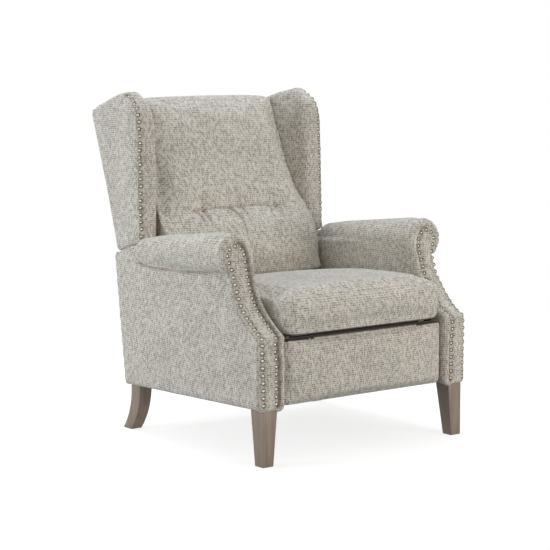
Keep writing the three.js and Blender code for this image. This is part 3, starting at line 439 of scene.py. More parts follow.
def makeTimberGrain():
    # long grain along the third coordinate, with pores
    group, start, end = newGroup("timberGrain", {"Place": "Vector", "Early": "Color", "Late": "Color"}, groupOutputs)
    make = Maker(group)
    place = start.outputs["Place"]
    rings = make.noise(make.stretched(place, grain["rings"]), detail=3, roughness=0.6)
    pores = make.noise(make.stretched(place, grain["pores"]), detail=2)
    blotch = make.noise(make.stretched(place, grain["blotch"]), detail=2)
    band = make.spread(rings, *grain["band"])
    pore = make.spread(pores, *grain["pore"])
    colour = make.mixed(band, start.outputs["Early"], start.outputs["Late"])
    colour = make.mixed(make.sum("MULTIPLY", pore, grain["poreShare"]), colour, start.outputs["Late"])
    make.join(make.shaded(colour, make.spread(blotch, *grain["blotchShades"])), end.inputs["Color"])
    make.join(make.sum("SUBTRACT", band, make.sum("MULTIPLY", pore, 0.8)), end.inputs["Height"])
    make.join(make.spread(pores, *grain["roughness"]), end.inputs["Roughness"])
    return group


coat = {
    "dull": (60, 60, 60),
    "fine": (700, 700, 700),
    "dullWorn": (0.52, 0.66),
    "fineWorn": (0.4, 0.6),
    "roughness": (0.3, 0.7, 0.28, 0.55),
}


def makeRubbedCoat():
    # a painted or plated metal: small scratches, dull patches, rubbed spots
    group, start, end = newGroup(
        "rubbedCoat", {"Place": "Vector", "Coat": "Color", "Bare": "Color", "Size": "Float"}, groupOutputs)
    make = Maker(group)
    scaled = make.put("VectorMath", operation="SCALE")
    make.join(start.outputs["Place"], scaled.inputs[0])
    make.join(start.outputs["Size"], scaled.inputs["Scale"])
    place = scaled.outputs["Vector"]
    dull = make.noise(make.stretched(place, coat["dull"]), detail=3)
    fine = make.noise(make.stretched(place, coat["fine"]), detail=2)
    worn = make.sum("MULTIPLY", make.spread(dull, *coat["dullWorn"]), make.spread(fine, *coat["fineWorn"]))
    make.join(make.mixed(worn, start.outputs["Coat"], start.outputs["Bare"]), end.inputs["Color"])
    make.join(fine, end.inputs["Height"])
    make.join(make.spread(dull, *coat["roughness"]), end.inputs["Roughness"])
    return group


def newMaterial(name, group, feed, values, bump, distance, principled):
    material = bpy.data.materials.new(name)
    material.use_nodes = True
    tree = material.node_tree
    make = Maker(tree)
    shader = tree.nodes["Principled BSDF"]
    where = make.put("TexCoord")
    pattern = make.put("Group")
    pattern.node_tree = group
    source = where.outputs["UV" if feed == "Cloth" else "Object"]
    make.join(source, pattern.inputs[feed])
    if "Painted Shade Depth" in pattern.inputs:
        paintedShade = make.put("Attribute")
        paintedShade.attribute_name = "paintedShade"
        make.join(paintedShade.outputs["Fac"], pattern.inputs["Painted Shade Depth"])
    for key, value in values.items():
        pattern.inputs[key].default_value = value
    make.join(pattern.outputs["Color"], shader.inputs["Base Color"])
    make.join(pattern.outputs["Roughness"], shader.inputs["Roughness"])
    relief = make.put("Bump")
    relief.inputs["Strength"].default_value = bump
    relief.inputs["Distance"].default_value = distance
    make.join(pattern.outputs["Height"], relief.inputs["Height"])
    make.join(relief.outputs["Normal"], shader.inputs["Normal"])
    for key, value in principled.items():
        shader.inputs[key].default_value = value
    return material


tweedWeave = makeTweedWeave()
timberGrain = makeTimberGrain()
rubbedCoat = makeRubbedCoat()

# the crease colour below is painted shade for creases, nail rings and gaps
tweed = newMaterial(
    "greigeTweed", tweedWeave, "Cloth",
    {"Ground": linear(212, 207, 196), "Light Yarn": linear(234, 231, 222), "Warm Yarn": linear(200, 188, 176),
     "Dark Fleck": linear(72, 65, 51), "Fleck Amount": 0.84, "Painted Shade Colour": linear(92, 76, 54)},
    0.4, 0.0010, {"Sheen Weight": 0.25, "Sheen Roughness": 0.5, "Specular IOR Level": 0.2})
legStain = newMaterial(
    "taupeStainedWood", timberGrain, "Place",
    {"Early": linear(138, 121, 104), "Late": linear(120, 103, 86)},
    0.15, 0.0006, {"Coat Weight": 0.15, "Coat Roughness": 0.35})
rawTimber = newMaterial(
    "rawTimber", timberGrain, "Place",
    {"Early": linear(214, 188, 148), "Late": linear(184, 150, 108)}, 0.2, 0.0008, {})
# painted shadow: the rail that the gap under the cushion shows is coloured near black for the shade in the gap, not
# for a stain
gapShadowTimber = newMaterial(
    "gapShadowTimber", timberGrain, "Place",
    {"Early": linear(40, 35, 30), "Late": linear(30, 26, 22)}, 0.2, 0.0008, {})
coatedSteel = newMaterial(
    "coatedSteel", rubbedCoat, "Place",
    {"Coat": linear(52, 53, 56), "Bare": linear(88, 88, 92), "Size": 1.0},
    0.1, 0.0003, {"Metallic": 0.6})
antiqueBrass = newMaterial(
    "antiqueBrass", rubbedCoat, "Place",
    {"Coat": linear(200, 194, 178), "Bare": linear(232, 228, 216), "Size": 2.5},
    0.1, 0.0002, {"Metallic": 0.85})


def paintRimShade(material, rim, low, high):
    # painted reflection and shade: the domes' colour goes dark towards their edges, where they turn away from the
    # camera
    make = Maker(material.node_tree)
    shader = material.node_tree.nodes["Principled BSDF"]
    plain = shader.inputs["Base Color"].links[0].from_socket
    facing = make.put("LayerWeight")
    facing.inputs["Blend"].default_value = 0.5
    colour = make.mixed(make.spread(facing.outputs["Facing"], low, high), plain, rim)
    make.join(colour, shader.inputs["Base Color"])


paintRimShade(antiqueBrass, linear(66, 55, 40), 0.06, 0.34)

print("finishes made")


# Arms: a flat centre panel between two nail rows, a gathered border round it, and a roll on top

nailShape = {
    "radius": 0.0056,
    "rise": 0.0038,
    "segments": 12,
    "rings": 8,
    "smoothAngle": 50,
    "pitch": 0.0213,
    "sink": 0.0004,
    "faceAhead": 0.6,
    # painted shade: a dark ring on the cloth round each one, where it presses in
    "halo": 0.0075,
    "haloShade": 0.65,
}

armShape = {
    "voxel": 0.0048,
    "softening": 2,
    # the nail row in width and height, from the inner foot over the scroll to the outer foot
    "row": [(0.3325, 0.178), (0.3325, 0.294), (0.3345, 0.313), (0.3372, 0.332), (0.3372, 0.352), (0.3330, 0.366),
            (0.3280, 0.380), (0.3270, 0.390), (0.3294, 0.403), (0.3315, 0.420), (0.3338, 0.437), (0.3336, 0.455),
            (0.3322, 0.478), (0.3314, 0.500), (0.3316, 0.525), (0.3302, 0.550), (0.3300, 0.566), (0.3322, 0.582),
            (0.3375, 0.596), (0.3460, 0.607), (0.3590, 0.6125), (0.3720, 0.6105), (0.3840, 0.603), (0.3915, 0.591),
            (0.3925, 0.578), (0.3855, 0.563), (0.3795, 0.548), (0.3785, 0.526), (0.3782, 0.495), (0.3785, 0.469),
            (0.3798, 0.452), (0.3804, 0.436), (0.3795, 0.422), (0.3780, 0.409), (0.3770, 0.396), (0.3770, 0.379),
            (0.3802, 0.363), (0.3808, 0.330), (0.3800, 0.300), (0.3790, 0.268), (0.3780, 0.240), (0.3770, 0.178)],
    "rowStep": 0.003,
    "ahead": 0.2,
    "sideFace": 0.388,
    "fineByRow": 0.036,
    "fineByLine": 0.012,
    "middle": 0.358,
    "shell": (0.296, 500),
    "outerFace": 0.37,
    "rowGroove": 0.0030,
    "grooveWidth": 0.0060,
    "outerShare": 0.5,
    "innerGroove": 0.0062,
    "innerGrooveWidth": 0.0036,
    "innerGroovePlace": 0.0090,
    "outerLine": 0.0020,
    "outerLinePlace": 0.0135,
    "outerLineWidth": 0.002,
    "borderPuff": 0.0050,
    "borderShares": (1.25, 0.45),
    "borderMiddle": 0.018,
    "borderWidth": 0.011,
    "panelEdgePuff": 0.0016,
    "neck": 0.0045,
    "neckPlace": 0.044,
    "neckWidth": 0.013,
    "neckDepth": 0.11,
    "gather": 0.0014,
    "gatherPitch": 0.013,
    "gatherWander": (0.9, 0.09),
    "gatherPlace": 0.022,
    "gatherWidth": 0.014,
    "gatherFoot": (0.40, 0.08),
    "panelPuff": 0.003,
    "panelFacing": (0.8, 5),
    "panelFace": 0.38,
    "panelHeights": (0.15, 0.535),
    "panelDepths": (0.01, 0.71),
    "panelFade": 0.06,
    "rearPuff": 0.008,
    "rearFacing": (0.4, 3),
    "rearDepth": 0.6,
    "rearTop": 0.56,
    # the crease under the roll on the outer face, in depth and height
    "crease": [(0.599, 0.521), (0.545, 0.515), (0.466, 0.516), (0.389, 0.518), (0.288, 0.523), (0.195, 0.527)],
    "creaseDepth": 0.0060,
    "creaseWidth": 0.0034,
    "creaseFade": 40,
    "crown": 0.005,
    "crownFoot": 0.5,
    "crownEnd": (0.62, 0.1),
    "tuck": 0.012,
    "tuckPlace": 0.508,
    "tuckWidth": 0.034,
    "tuckFacing": (0.3, 2),
    "tuckEnd": (0.36, 0.2),
    # the seam at the roll's rear end
    "endSeam": [(0.600, 0.521), (0.611, 0.529), (0.626, 0.537), (0.636, 0.546), (0.648, 0.558)],
    "seamRise": 0.003,
    "seamWidth": 0.0026,
    "seamGroovePlace": 0.006,
    "seamGrooveWidth": 0.0025,
    # painted shade: how much goes into the inner groove, the crease under the roll and the outer line
    "bandShade": 0.62,
    "creaseShade": 0.42,
    "lineShade": 0.3,
}


def evenly(points, pitch):
    # points at an even pitch along a polyline
    points = np.array(points, float)
    steps = np.linalg.norm(np.diff(points, axis=0), axis=1)
    reach = np.concatenate([[0], np.cumsum(steps)])
    count = max(2, int(round(reach[-1] / pitch)) + 1)
    wanted = np.linspace(0, reach[-1], count)
    return np.stack([np.interp(wanted, reach, points[:, axis]) for axis in range(3)], 1)


def armRowOnFront(tree, side):
    # the row is laid on the arm's front from ahead
    shape = armShape
    laid = []
    for x, y, z in evenly([(x, 0, z) for x, z in shape["row"]], shape["rowStep"]):
        hit = tree.ray_cast(Vector((side * x, armFront - shape["ahead"], z)), Vector((0, 1, 0)))[0]
        if hit is not None:
            laid.append(tuple(hit))
    return evenly(laid, lineStep)


def lineOnSide(line, side):
    return evenly([(side * armShape["sideFace"], armFront + depth, z) for depth, z in line], lineStep)


def nailShadeRings(row, points):
    # painted shade round each nail
    nails = evenly(row, nailShape["pitch"])
    return nailShape["haloShade"] * bell(nearestOn(nails, points)[0], nailShape["halo"])


def armCover(side, suffix):
    shape = armShape
    piece = mouldedFrom("arm_cover_" + suffix, "armCover." + suffix, shape)
    row = armRowOnFront(treeOf(piece), side)
    crease = lineOnSide(shape["crease"], side)
    seam = lineOnSide(shape["endSeam"], side)
    points = pointsOf(piece)
    fine = nearestOn(row, points)[0] < shape["fineByRow"]
    for line in (crease, seam):
        fine |= nearestOn(line, points)[0] < shape["fineByLine"]
    subdivideWhere(piece, fine)
    points = pointsOf(piece)
    normals = normalsOf(piece)
    distance, index = nearestOn(row, points)
    across = np.abs(points[:, 0])
    depth = points[:, 1] - armFront
    height = points[:, 2]
    # inside the row: between its two legs, or within the scroll
    half = len(row) // 2
    near = np.interp(height, row[:half, 2], np.abs(row[:half, 0]))
    far = np.interp(height, row[half:, 2][::-1], np.abs(row[half:, 0])[::-1])
    inside = (across > near) & (across < far) & (height < row[:, 2].max())
    inner = across < shape["middle"]
    outer = across > shape["outerFace"]
    # the border, its gathers and the neck behind them
    shell = steep(across, *shape["shell"])
    border = bell(distance - shape["borderMiddle"], shape["borderWidth"])
    amount = shape["borderPuff"] * (border * ~inside) * shell * np.where(inner, *shape["borderShares"])
    amount += shape["panelEdgePuff"] * border * inside
    upper = rising(height, *shape["gatherFoot"])
    wander, pace = shape["gatherWander"]
    wave = np.sin(index * lineStep / shape["gatherPitch"] * 2 * math.pi + wander * np.sin(index * pace))
    gathered = bell(distance - shape["gatherPlace"], shape["gatherWidth"])
    amount += shape["gather"] * wave * gathered * ~inside * upper
    neck = bell(distance - shape["neckPlace"], shape["neckWidth"])
    amount -= shape["neck"] * neck * ~inside * upper * (depth > shape["neckDepth"])
    # the grooves along the row
    groove = bell(distance, shape["grooveWidth"])
    amount -= shape["rowGroove"] * groove * np.where(inner, 1, shape["outerShare"])
    band = bell(distance - shape["innerGroovePlace"], shape["innerGrooveWidth"]) * inner * ~inside * shell
    amount -= shape["innerGroove"] * band
    line = bell(distance - shape["outerLinePlace"], shape["outerLineWidth"]) * ~inner * ~inside
    amount -= shape["outerLine"] * line
    # the outer panel and the rear are softly stuffed
    flat = steep(np.abs(normals[:, 0]), *shape["panelFacing"]) * (across > shape["panelFace"])
    bottom, top = shape["panelHeights"]
    ahead, behind = shape["panelDepths"]
    edge = np.minimum(np.minimum(height - bottom, top - height), np.minimum(depth - ahead, behind - depth))
    amount += shape["panelPuff"] * flat * rising(edge, 0, shape["panelFade"]) ** 0.5
    rearward = steep(normals[:, 1], *shape["rearFacing"])
    amount += shape["rearPuff"] * rearward * (depth > shape["rearDepth"]) * (height < shape["rearTop"])
    # the crease under the roll, and the seam at its end
    away, place = nearestOn(crease, points)
    under = bell(away, shape["creaseWidth"]) * outer * falling(place, len(crease), shape["creaseFade"]) ** 0.7
    amount -= shape["creaseDepth"] * under
    away = nearestOn(seam, points)[0]
    seamGroove = shape["seamRise"] * bell(away - shape["seamGroovePlace"], shape["seamGrooveWidth"])
    amount += (shape["seamRise"] * bell(away, shape["seamWidth"]) - seamGroove) * outer
    # the roll crowns a little, and the outer side tucks in under it
    upward = np.clip(normals[:, 2], 0, 1) * (height > shape["crownFoot"])
    amount += shape["crown"] * upward * falling(depth, *shape["crownEnd"])
    sideways = steep(normals[:, 0] * side, *shape["tuckFacing"]) * outer * ~inside
    tuck = bell(height - shape["tuckPlace"], shape["tuckWidth"])
    amount -= shape["tuck"] * tuck * sideways * falling(depth, *shape["tuckEnd"])
    pushOut(piece, amount)
    relax(piece)
    # painted shade in the grooves, the crease and round the nails
    creaseShadeMarks = shape["bandShade"] * band + shape["creaseShade"] * under + shape["lineShade"] * line
    paintCreaseShade(piece, creaseShadeMarks + nailShadeRings(row, points))
    return piece, row


# Nailheads: one dome, copied along each row

def makeNailhead():
    shape = nailShape
    bpy.ops.object.select_all(action="DESELECT")
    bpy.ops.mesh.primitive_uv_sphere_add(
        segments=shape["segments"], ring_count=shape["rings"], radius=shape["radius"], location=(0, 0, 0))
    nail = bpy.context.object
    nail.name = "nailhead"
    editAll(nail)
    bpy.ops.mesh.bisect(plane_co=(0, 0, 0), plane_no=(0, 0, 1), clear_inner=True, use_fill=True)
    bpy.ops.mesh.select_all(action="SELECT")
    bpy.ops.transform.resize(value=(1, 1, shape["rise"] / shape["radius"]))
    backToObject()
    bpy.ops.object.shade_smooth_by_angle(angle=math.radians(shape["smoothAngle"]))
    return nail


def nailRow(name, nail, cover, path, body):
    shape = nailShape
    tree = treeOf(cover)
    copies = []
    for place in evenly(path, shape["pitch"]):
        spot, normal = tree.find_nearest(Vector(place))[:2]
        normal = (normal + Vector((0, -shape["faceAhead"], 0))).normalized()
        copy = bpy.data.objects.new(name, nail.data.copy())
        bpy.context.scene.collection.objects.link(copy)
        turn = normal.to_track_quat("Z", "Y").to_matrix().to_4x4()
        turn.translation = spot - normal * shape["sink"]
        copy.data.transform(turn)
        copies.append(copy)
    takeUp(*copies)
    bpy.ops.object.join()
    row = copies[0]
    row.name = name
    row.data.materials.clear()
    row.data.materials.append(antiqueBrass)
    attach(row, body)


nailhead = makeNailhead()
for side, suffix in bothSides:
    cover, row = armCover(side, suffix)
    dress(cover, tweed, "base", ["arm_cover_" + suffix])
    nailRow("armNails." + suffix, nailhead, cover, row, "base")
print("arms made")


# Wings

wingShape = {
    "voxel": 0.0042,
    "softening": 3,
    "rowStep": 0.004,
    "fineByRow": 0.04,
    "groove": 0.006,
    "grooveWidth": 0.011,
    "stripPuff": 0.003,
    "stripMiddle": 0.034,
    "stripWidth": 0.020,
    "stripFacing": (0, 2),
    "facePuff": 0.008,
    "faceFacing": (0.25, 2),
    "faceFade": (0.006, 0.03),
    # the nail row in width, depth and height, from its foot over the peak
    "row": [(0.351, 0.642, 0.596), (0.350, 0.645, 0.674), (0.348, 0.650, 0.790), (0.3485, 0.652, 0.868),
            (0.3475, 0.653, 0.908), (0.347, 0.655, 0.928), (0.347, 0.657, 0.946), (0.3495, 0.662, 0.967),
            (0.349, 0.669, 0.984), (0.348, 0.684, 1.000), (0.3455, 0.702, 1.012), (0.344, 0.722, 1.019)],
}


def wing(side, suffix):
    shape = wingShape
    piece = mouldedFrom("wing_" + suffix, "wing." + suffix, shape)
    tree = treeOf(piece)
    row = []
    for x, depth, z in evenly(shape["row"], shape["rowStep"]):
        row.append(tuple(tree.find_nearest(Vector((side * x, armFront + depth, z)))[0]))
    row = evenly(row, lineStep)
    subdivideWhere(piece, nearestOn(row, pointsOf(piece))[0] < shape["fineByRow"])
    points = pointsOf(piece)
    normals = normalsOf(piece)
    distance = nearestOn(row, points)[0]
    strip = bell(distance - shape["stripMiddle"], shape["stripWidth"])
    amount = shape["stripPuff"] * strip * steep(-normals[:, 1], *shape["stripFacing"])
    amount -= shape["groove"] * bell(distance, shape["grooveWidth"])
    outside = steep(normals[:, 0] * side, *shape["faceFacing"])
    amount += shape["facePuff"] * outside * rising(distance, *shape["faceFade"])
    pushOut(piece, amount)
    relax(piece)
    # painted shade round the nails
    paintCreaseShade(piece, nailShadeRings(row, points))
    return piece, row


for side, suffix in bothSides:
    cover, row = wing(side, suffix)
    dress(cover, tweed, "back", ["wing_" + suffix])
    nailRow("wingNails." + suffix, nailhead, cover, row, "back")
bpy.data.objects.remove(nailhead)
print("wings made")


# Back cushion: three tufts on one crease, with pleats that fall from them

backShape = {
    "voxel": 0.0064,
    "softening": 2,
    "shrink": 0.006,
    "cap": 0.016,
    "frontFacing": (0, 1.6),
    "frontFoot": (0.47, 0.03),
    "topFacing": (0, 1.5),
    "topFrom": 0.95,
    "topShare": 0.6,
    # the lower edge settles on the seat, and the sides fill out above the arms
    "settle": 0.005,
    "settleTop": (0.500, 0.03),
    "settleBack": (0.17, 0.04),
    "sideFill": 0.006,
    "sidePlace": 0.640,
    "sideWidth": 0.065,
    "sideFrom": (0.235, 0.03),
    "sideBack": 0.2,
    # the part of the front that holds the pleats
    "fineFacing": 0.2,
    "fineAcross": 0.19,
    "fineHeights": (0.56, 0.745),
    "faceFacing": (0.1, 4),
    "tufts": [(-0.140, 0.667), (0.003, 0.670), (0.140, 0.666)],
    "tuftDepth": 0.005,
    "tuftWidth": 0.014,
    "creaseDepth": 0.0036,
    "creaseWidth": 0.0035,
    "pleatDepth": 0.0075,
    "pleatWidth": 0.0040,
    "pleatRidge": 0.0030,
    "ridgePlace": 0.012,
    # painted shade: its width, and how much goes into the crease, the pleats and the side edges by the wings
    "ridgeWidth": 0.007,
    "shadeWidth": 0.0026,
    "creaseShade": 0.30,
    "pleatShade": 0.55,
    "edgeShade": 0.6,
    "edgeFacing": (0.72, 4),
    "edgeFoot": 0.56,
    "creaseLine": [(-0.164, 0.666), (-0.146, 0.666), (-0.121, 0.669), (-0.096, 0.672), (-0.071, 0.670),
                   (-0.040, 0.668), (-0.028, 0.671), (0.003, 0.669), (0.035, 0.671), (0.058, 0.673),
                   (0.088, 0.669), (0.115, 0.666), (0.140, 0.664), (0.156, 0.665)],
    # pleats below the tufts, each with its strength, and soft gathers above them
    "pleats": [
        (1.0, [(-0.176, 0.668), (-0.166, 0.660), (-0.158, 0.652), (-0.158, 0.639), (-0.164, 0.624),
               (-0.165, 0.608)]),
        (0.8, [(-0.140, 0.664), (-0.134, 0.648), (-0.134, 0.640), (-0.136, 0.626), (-0.139, 0.602)]),
        (1.1, [(-0.042, 0.668), (-0.030, 0.662), (-0.018, 0.650), (-0.014, 0.640), (-0.018, 0.624), (-0.021, 0.606),
               (-0.023, 0.588), (-0.019, 0.570)]),
        (0.5, [(0.012, 0.664), (0.017, 0.645), (0.013, 0.630), (0.012, 0.612), (0.012, 0.588)]),
        (0.5, [(0.110, 0.670), (0.117, 0.657), (0.112, 0.640), (0.107, 0.620), (0.106, 0.604), (0.115, 0.580)]),
        (0.5, [(0.140, 0.664), (0.147, 0.644), (0.150, 0.620), (0.152, 0.596)]),
        (0.35, [(-0.138, 0.670), (-0.137, 0.690), (-0.136, 0.722)]),
        (0.35, [(0.000, 0.672), (0.002, 0.694), (0.004, 0.726)]),
        (0.35, [(0.140, 0.670), (0.141, 0.690), (0.140, 0.722)]),
        (0.25, [(0.122, 0.672), (0.124, 0.690), (0.126, 0.712)]),
    ],
}


def flatLine(points):
    # a line drawn on the cushion's front, in width and height
    return evenly([(x, 0, z) for x, z in points], lineStep)


def fadeAlong(index, count):
    # strongest at the start of a line, gone at its end
    return 1 - np.clip(index / max(1, count - 1), 0, 1) ** 2


def backCushion():
    shape = backShape
    piece = mouldedFrom("back_cushion", "backCushion", shape)
    points = pointsOf(piece)
    normals = normalsOf(piece)
    front = steep(-normals[:, 1], *shape["frontFacing"]) * rising(points[:, 2], *shape["frontFoot"])
    upper = steep(normals[:, 2], *shape["topFacing"]) * (points[:, 2] > shape["topFrom"])
    swell(piece, shape, np.maximum(front, upper * shape["topShare"]))
    points = pointsOf(piece)
    low = falling(points[:, 2], *shape["settleTop"]) * falling(points[:, 1], *shape["settleBack"])
    points[:, 2] -= shape["settle"] * low
    points[:, 1] -= shape["settle"] * low
    sideways = bell(points[:, 2] - shape["sidePlace"], shape["sideWidth"])
    sideways = sideways * rising(np.abs(points[:, 0]), *shape["sideFrom"])
    points[:, 0] += np.sign(points[:, 0]) * shape["sideFill"] * sideways
    points[:, 1] -= shape["sideFill"] * sideways * (points[:, 1] < shape["sideBack"])
    setPoints(piece, points)
    foot, top = shape["fineHeights"]
    front = -normalsOf(piece)[:, 1] > shape["fineFacing"]
    front &= (np.abs(points[:, 0]) < shape["fineAcross"]) & (points[:, 2] > foot) & (points[:, 2] < top)
    subdivideWhere(piece, front)
    points = pointsOf(piece)
    normals = normalsOf(piece)
    face = steep(-normals[:, 1], *shape["faceFacing"])
    flat = np.stack([points[:, 0], np.zeros(len(points)), points[:, 2]], 1)
    amount = np.zeros(len(points))
    for x, z in shape["tufts"]:
        away = np.hypot(points[:, 0] - x, points[:, 2] - z)
        amount -= shape["tuftDepth"] * bell(away, shape["tuftWidth"])
    distance = nearestOn(flatLine(shape["creaseLine"]), flat)[0]
    amount -= shape["creaseDepth"] * bell(distance, shape["creaseWidth"])
    paintedShade = shape["creaseShade"] * bell(distance, shape["shadeWidth"])
    for weight, pleat in shape["pleats"]:
        line = flatLine(pleat)
        distance, index = nearestOn(line, flat)
        strength = weight * fadeAlong(index, len(line))
        amount -= shape["pleatDepth"] * strength * bell(distance, shape["pleatWidth"])
        paintedShade = np.maximum(paintedShade, shape["pleatShade"] * strength * bell(distance, shape["shadeWidth"]))
        amount += shape["pleatRidge"] * strength * bell(distance - shape["ridgePlace"], shape["ridgeWidth"])
    pushOut(piece, amount * face)
    relax(piece)
    # painted shade along the crease and pleats, and on the side edges where the gap to the wings lies in shadow
    edge = steep(np.abs(normals[:, 0]), *shape["edgeFacing"]) * (points[:, 2] > shape["edgeFoot"])
    paintCreaseShade(piece, np.maximum(paintedShade * face, shape["edgeShade"] * edge))
    return piece


dress(backCushion(), tweed, "back", ["back_cushion"], overTop="x")
print("back cushion made")


# Seat cushion and footrest pad: full in front, with painted shadow, near black, where the gap between them hides
# them

seatShape = {
    "voxel": 0.0064,
    "softening": 2,
    "shrink": 0.004,
    "cap": 0.009,
    "frontFacing": (0, 1.6),
    "frontFoot": (0.366, 0.02),
    "topBack": (0.03, 0.06),
    "gapFacing": (0.6, 4),
}
padShape = {
    "voxel": 0.0056,
    "softening": 2,
    "shrink": 0.004,
    "cap": 0.010,
    "frontFacing": (0, 1.6),
    "gapBehind": 0.022,
    "gapBelow": 0.006,
}


def seatCushion():
    shape = seatShape
    piece = mouldedFrom("seat_cushion", "seatCushion", shape)
    points = pointsOf(piece)
    normals = normalsOf(piece)
    ahead = steep(-normals[:, 1], *shape["frontFacing"]) * rising(points[:, 2], *shape["frontFoot"])
    above = steep(normals[:, 2], *shape["frontFacing"]) * falling(points[:, 1], *shape["topBack"])
    swell(piece, shape, np.maximum(ahead, above))
    # painted shadow, near black, on the underside that the gap hides
    paintCreaseShade(piece, paintedGapShadow * steep(-normalsOf(piece)[:, 2], *shape["gapFacing"]))
    return piece


def footrestPad():
    shape = padShape
    piece = mouldedFrom("footrest_pad", "footrestPad", shape)
    swell(piece, shape, steep(-normalsOf(piece)[:, 1], *shape["frontFacing"]))
    points = pointsOf(piece)
    behind = points[:, 1] > points[:, 1].min() + shape["gapBehind"]
    above = points[:, 2] > points[:, 2].max() - shape["gapBelow"]
    # painted shadow, near black, on the top behind the front edge, which the gap under the cushion hides
    paintCreaseShade(piece, paintedGapShadow * behind * above)
    return piece


dress(seatCushion(), tweed, "seat", ["seat_cushion"], overTop="x")
dress(footrestPad(), tweed, "footrest", ["footrest_pad"], overTop="x")
print("seat cushion and footrest pad made")


# Rear: the skin of the back and the panel between the rear legs

outerShape = {
    "voxel": 0.0042,
    "softening": 1,
    "puff": 0.010,
    "rearFacing": (0.5, 4),
    "edgeFacing": (0.3, 2),
    "edgeFoot": (0.56, 0.05),
    "halfWidth": 0.328,
    "top": 0.97,
    "rimShare": 0.4,
    "rimWidth": 0.05,
}
panelShape = {"voxel": 0.0042, "softening": 4}


def outerBack():
    # stuffed over its middle, less at its rim
    shape = outerShape
    piece = mouldedFrom("outer_back", "outerBack", shape)
    normals = normalsOf(piece)
    points = pointsOf(piece)
    edgeward = steep(np.abs(normals[:, 0]), *shape["edgeFacing"]) * rising(points[:, 2], *shape["edgeFoot"])
    rearward = steep(normals[:, 1], *shape["rearFacing"])
    inward = np.minimum(shape["halfWidth"] - np.abs(points[:, 0]), shape["top"] - points[:, 2])
    full = np.clip(shape["rimShare"] + inward / shape["rimWidth"], 0, 1) ** 0.5
    pushOut(piece, shape["puff"] * np.clip(rearward + edgeward, 0, 1) * full)
    applied(piece, "SMOOTH", factor=0.4, iterations=2)
    return piece


dress(outerBack(), tweed, "back", ["outer_back"], overTop="x")
rearPanel = mouldedFrom("rear_panel", "rearPanel", panelShape)
dress(rearPanel, tweed, "base", ["rear_panel"], overTop="x")
print("rear made")


# Legs

legShape = {
    "outer": 0.377,
    "frontFoot": (0.038, 0.038),
    "frontTop": (0.052, 0.058),
    "frontSetback": 0.005,
    "frontShares": (0.0, 0.35, 0.7, 1.0),
    "rearFoot": (0.039, 0.044),
    "rearTop": (0.045, 0.048),
    "rearSetback": 0.622,
    "rearSweep": 0.050,
    "rearCurve": 2.4,
    "rearSteps": 8,
    "rearMiddle": 0.645,
    "edge": 0.0022,
    "edgeAngle": 50,
    "smoothAngle": 35,
    "footInset": 0.004,
    "tuckIn": 0.004,
    # the slanting underside of the arms
    "undersideFront": 0.161,
    "undersideRear": 0.140,
    "undersideDepth": 0.681,
}


def between(first, second, share):
    return first + (second - first) * share


def undersideAt(depth):
    # with the bit of leg that is tucked into the arm
    shape = legShape
    drop = shape["undersideRear"] - shape["undersideFront"]
    return shape["undersideFront"] + drop * depth / shape["undersideDepth"] + shape["tuckIn"]


def legThrough(name, sections):
    # a square leg grown upwards through its sections: middle, width, depth and height of each
    bpy.ops.object.select_all(action="DESELECT")
    x, y, width, depth, z = sections[0]
    bpy.ops.mesh.primitive_plane_add(size=1, location=(x, y, z))
    leg = bpy.context.object
    leg.name = name
    editAll(leg)
    bpy.ops.transform.resize(value=(width, depth, 1))
    bpy.ops.mesh.inset(thickness=legShape["footInset"], depth=0)
    bpy.ops.mesh.select_all(action="SELECT")
    for (x0, y0, w0, d0, z0), (x1, y1, w1, d1, z1) in zip(sections, sections[1:]):
        bpy.ops.mesh.extrude_region_move(TRANSFORM_OT_translate={"value": (x1 - x0, y1 - y0, z1 - z0)})
        bpy.ops.transform.resize(value=(w1 / w0, d1 / d0, 1), center_override=(x1, y1, z1))
    bpy.ops.mesh.select_all(action="SELECT")
    bpy.ops.mesh.normals_make_consistent(inside=False)
    backToObject()
    takeUp(leg)
    bpy.ops.object.transform_apply(location=True, rotation=True, scale=True)
    applied(leg, "BEVEL", width=legShape["edge"], segments=3, limit_method="ANGLE",
            angle_limit=math.radians(legShape["edgeAngle"]))
    takeUp(leg)
    bpy.ops.object.shade_smooth_by_angle(angle=math.radians(legShape["smoothAngle"]))
    return leg


def frontLeg(side, suffix):
    shape = legShape
    sections = []
    for share in shape["frontShares"]:
        width, depth = (between(*ends, share) for ends in zip(shape["frontFoot"], shape["frontTop"]))
        top = undersideAt(shape["frontSetback"] + depth / 2)
        x = side * (shape["outer"] - width / 2)
        sections.append((x, armFront + shape["frontSetback"] + depth / 2, width, depth, share * top))
    return legThrough("frontLeg." + suffix, sections)


def rearLeg(side, suffix):
    shape = legShape
    top = undersideAt(shape["rearMiddle"])
    sections = []
    for step in range(shape["rearSteps"] + 1):
        share = step / shape["rearSteps"]
        width, depth = (between(*ends, share) for ends in zip(shape["rearFoot"], shape["rearTop"]))
        back = shape["rearSetback"] + shape["rearSweep"] * (1 - share) ** shape["rearCurve"]
        x = side * (shape["outer"] - width / 2)
        sections.append((x, armFront + back + depth / 2, width, depth, share * top))
    return legThrough("rearLeg." + suffix, sections)


for side, suffix in bothSides:
    dress(frontLeg(side, suffix), legStain, "base", ["front_leg_" + suffix], slot="leg_wood")
    dress(rearLeg(side, suffix), legStain, "base", ["rear_leg_" + suffix], slot="leg_wood")
print("legs made")


# The frame and the mechanism keep their solids, with eased edges

easing = {"timber": 0.0012, "steel": 0.0004, "angle": 40}

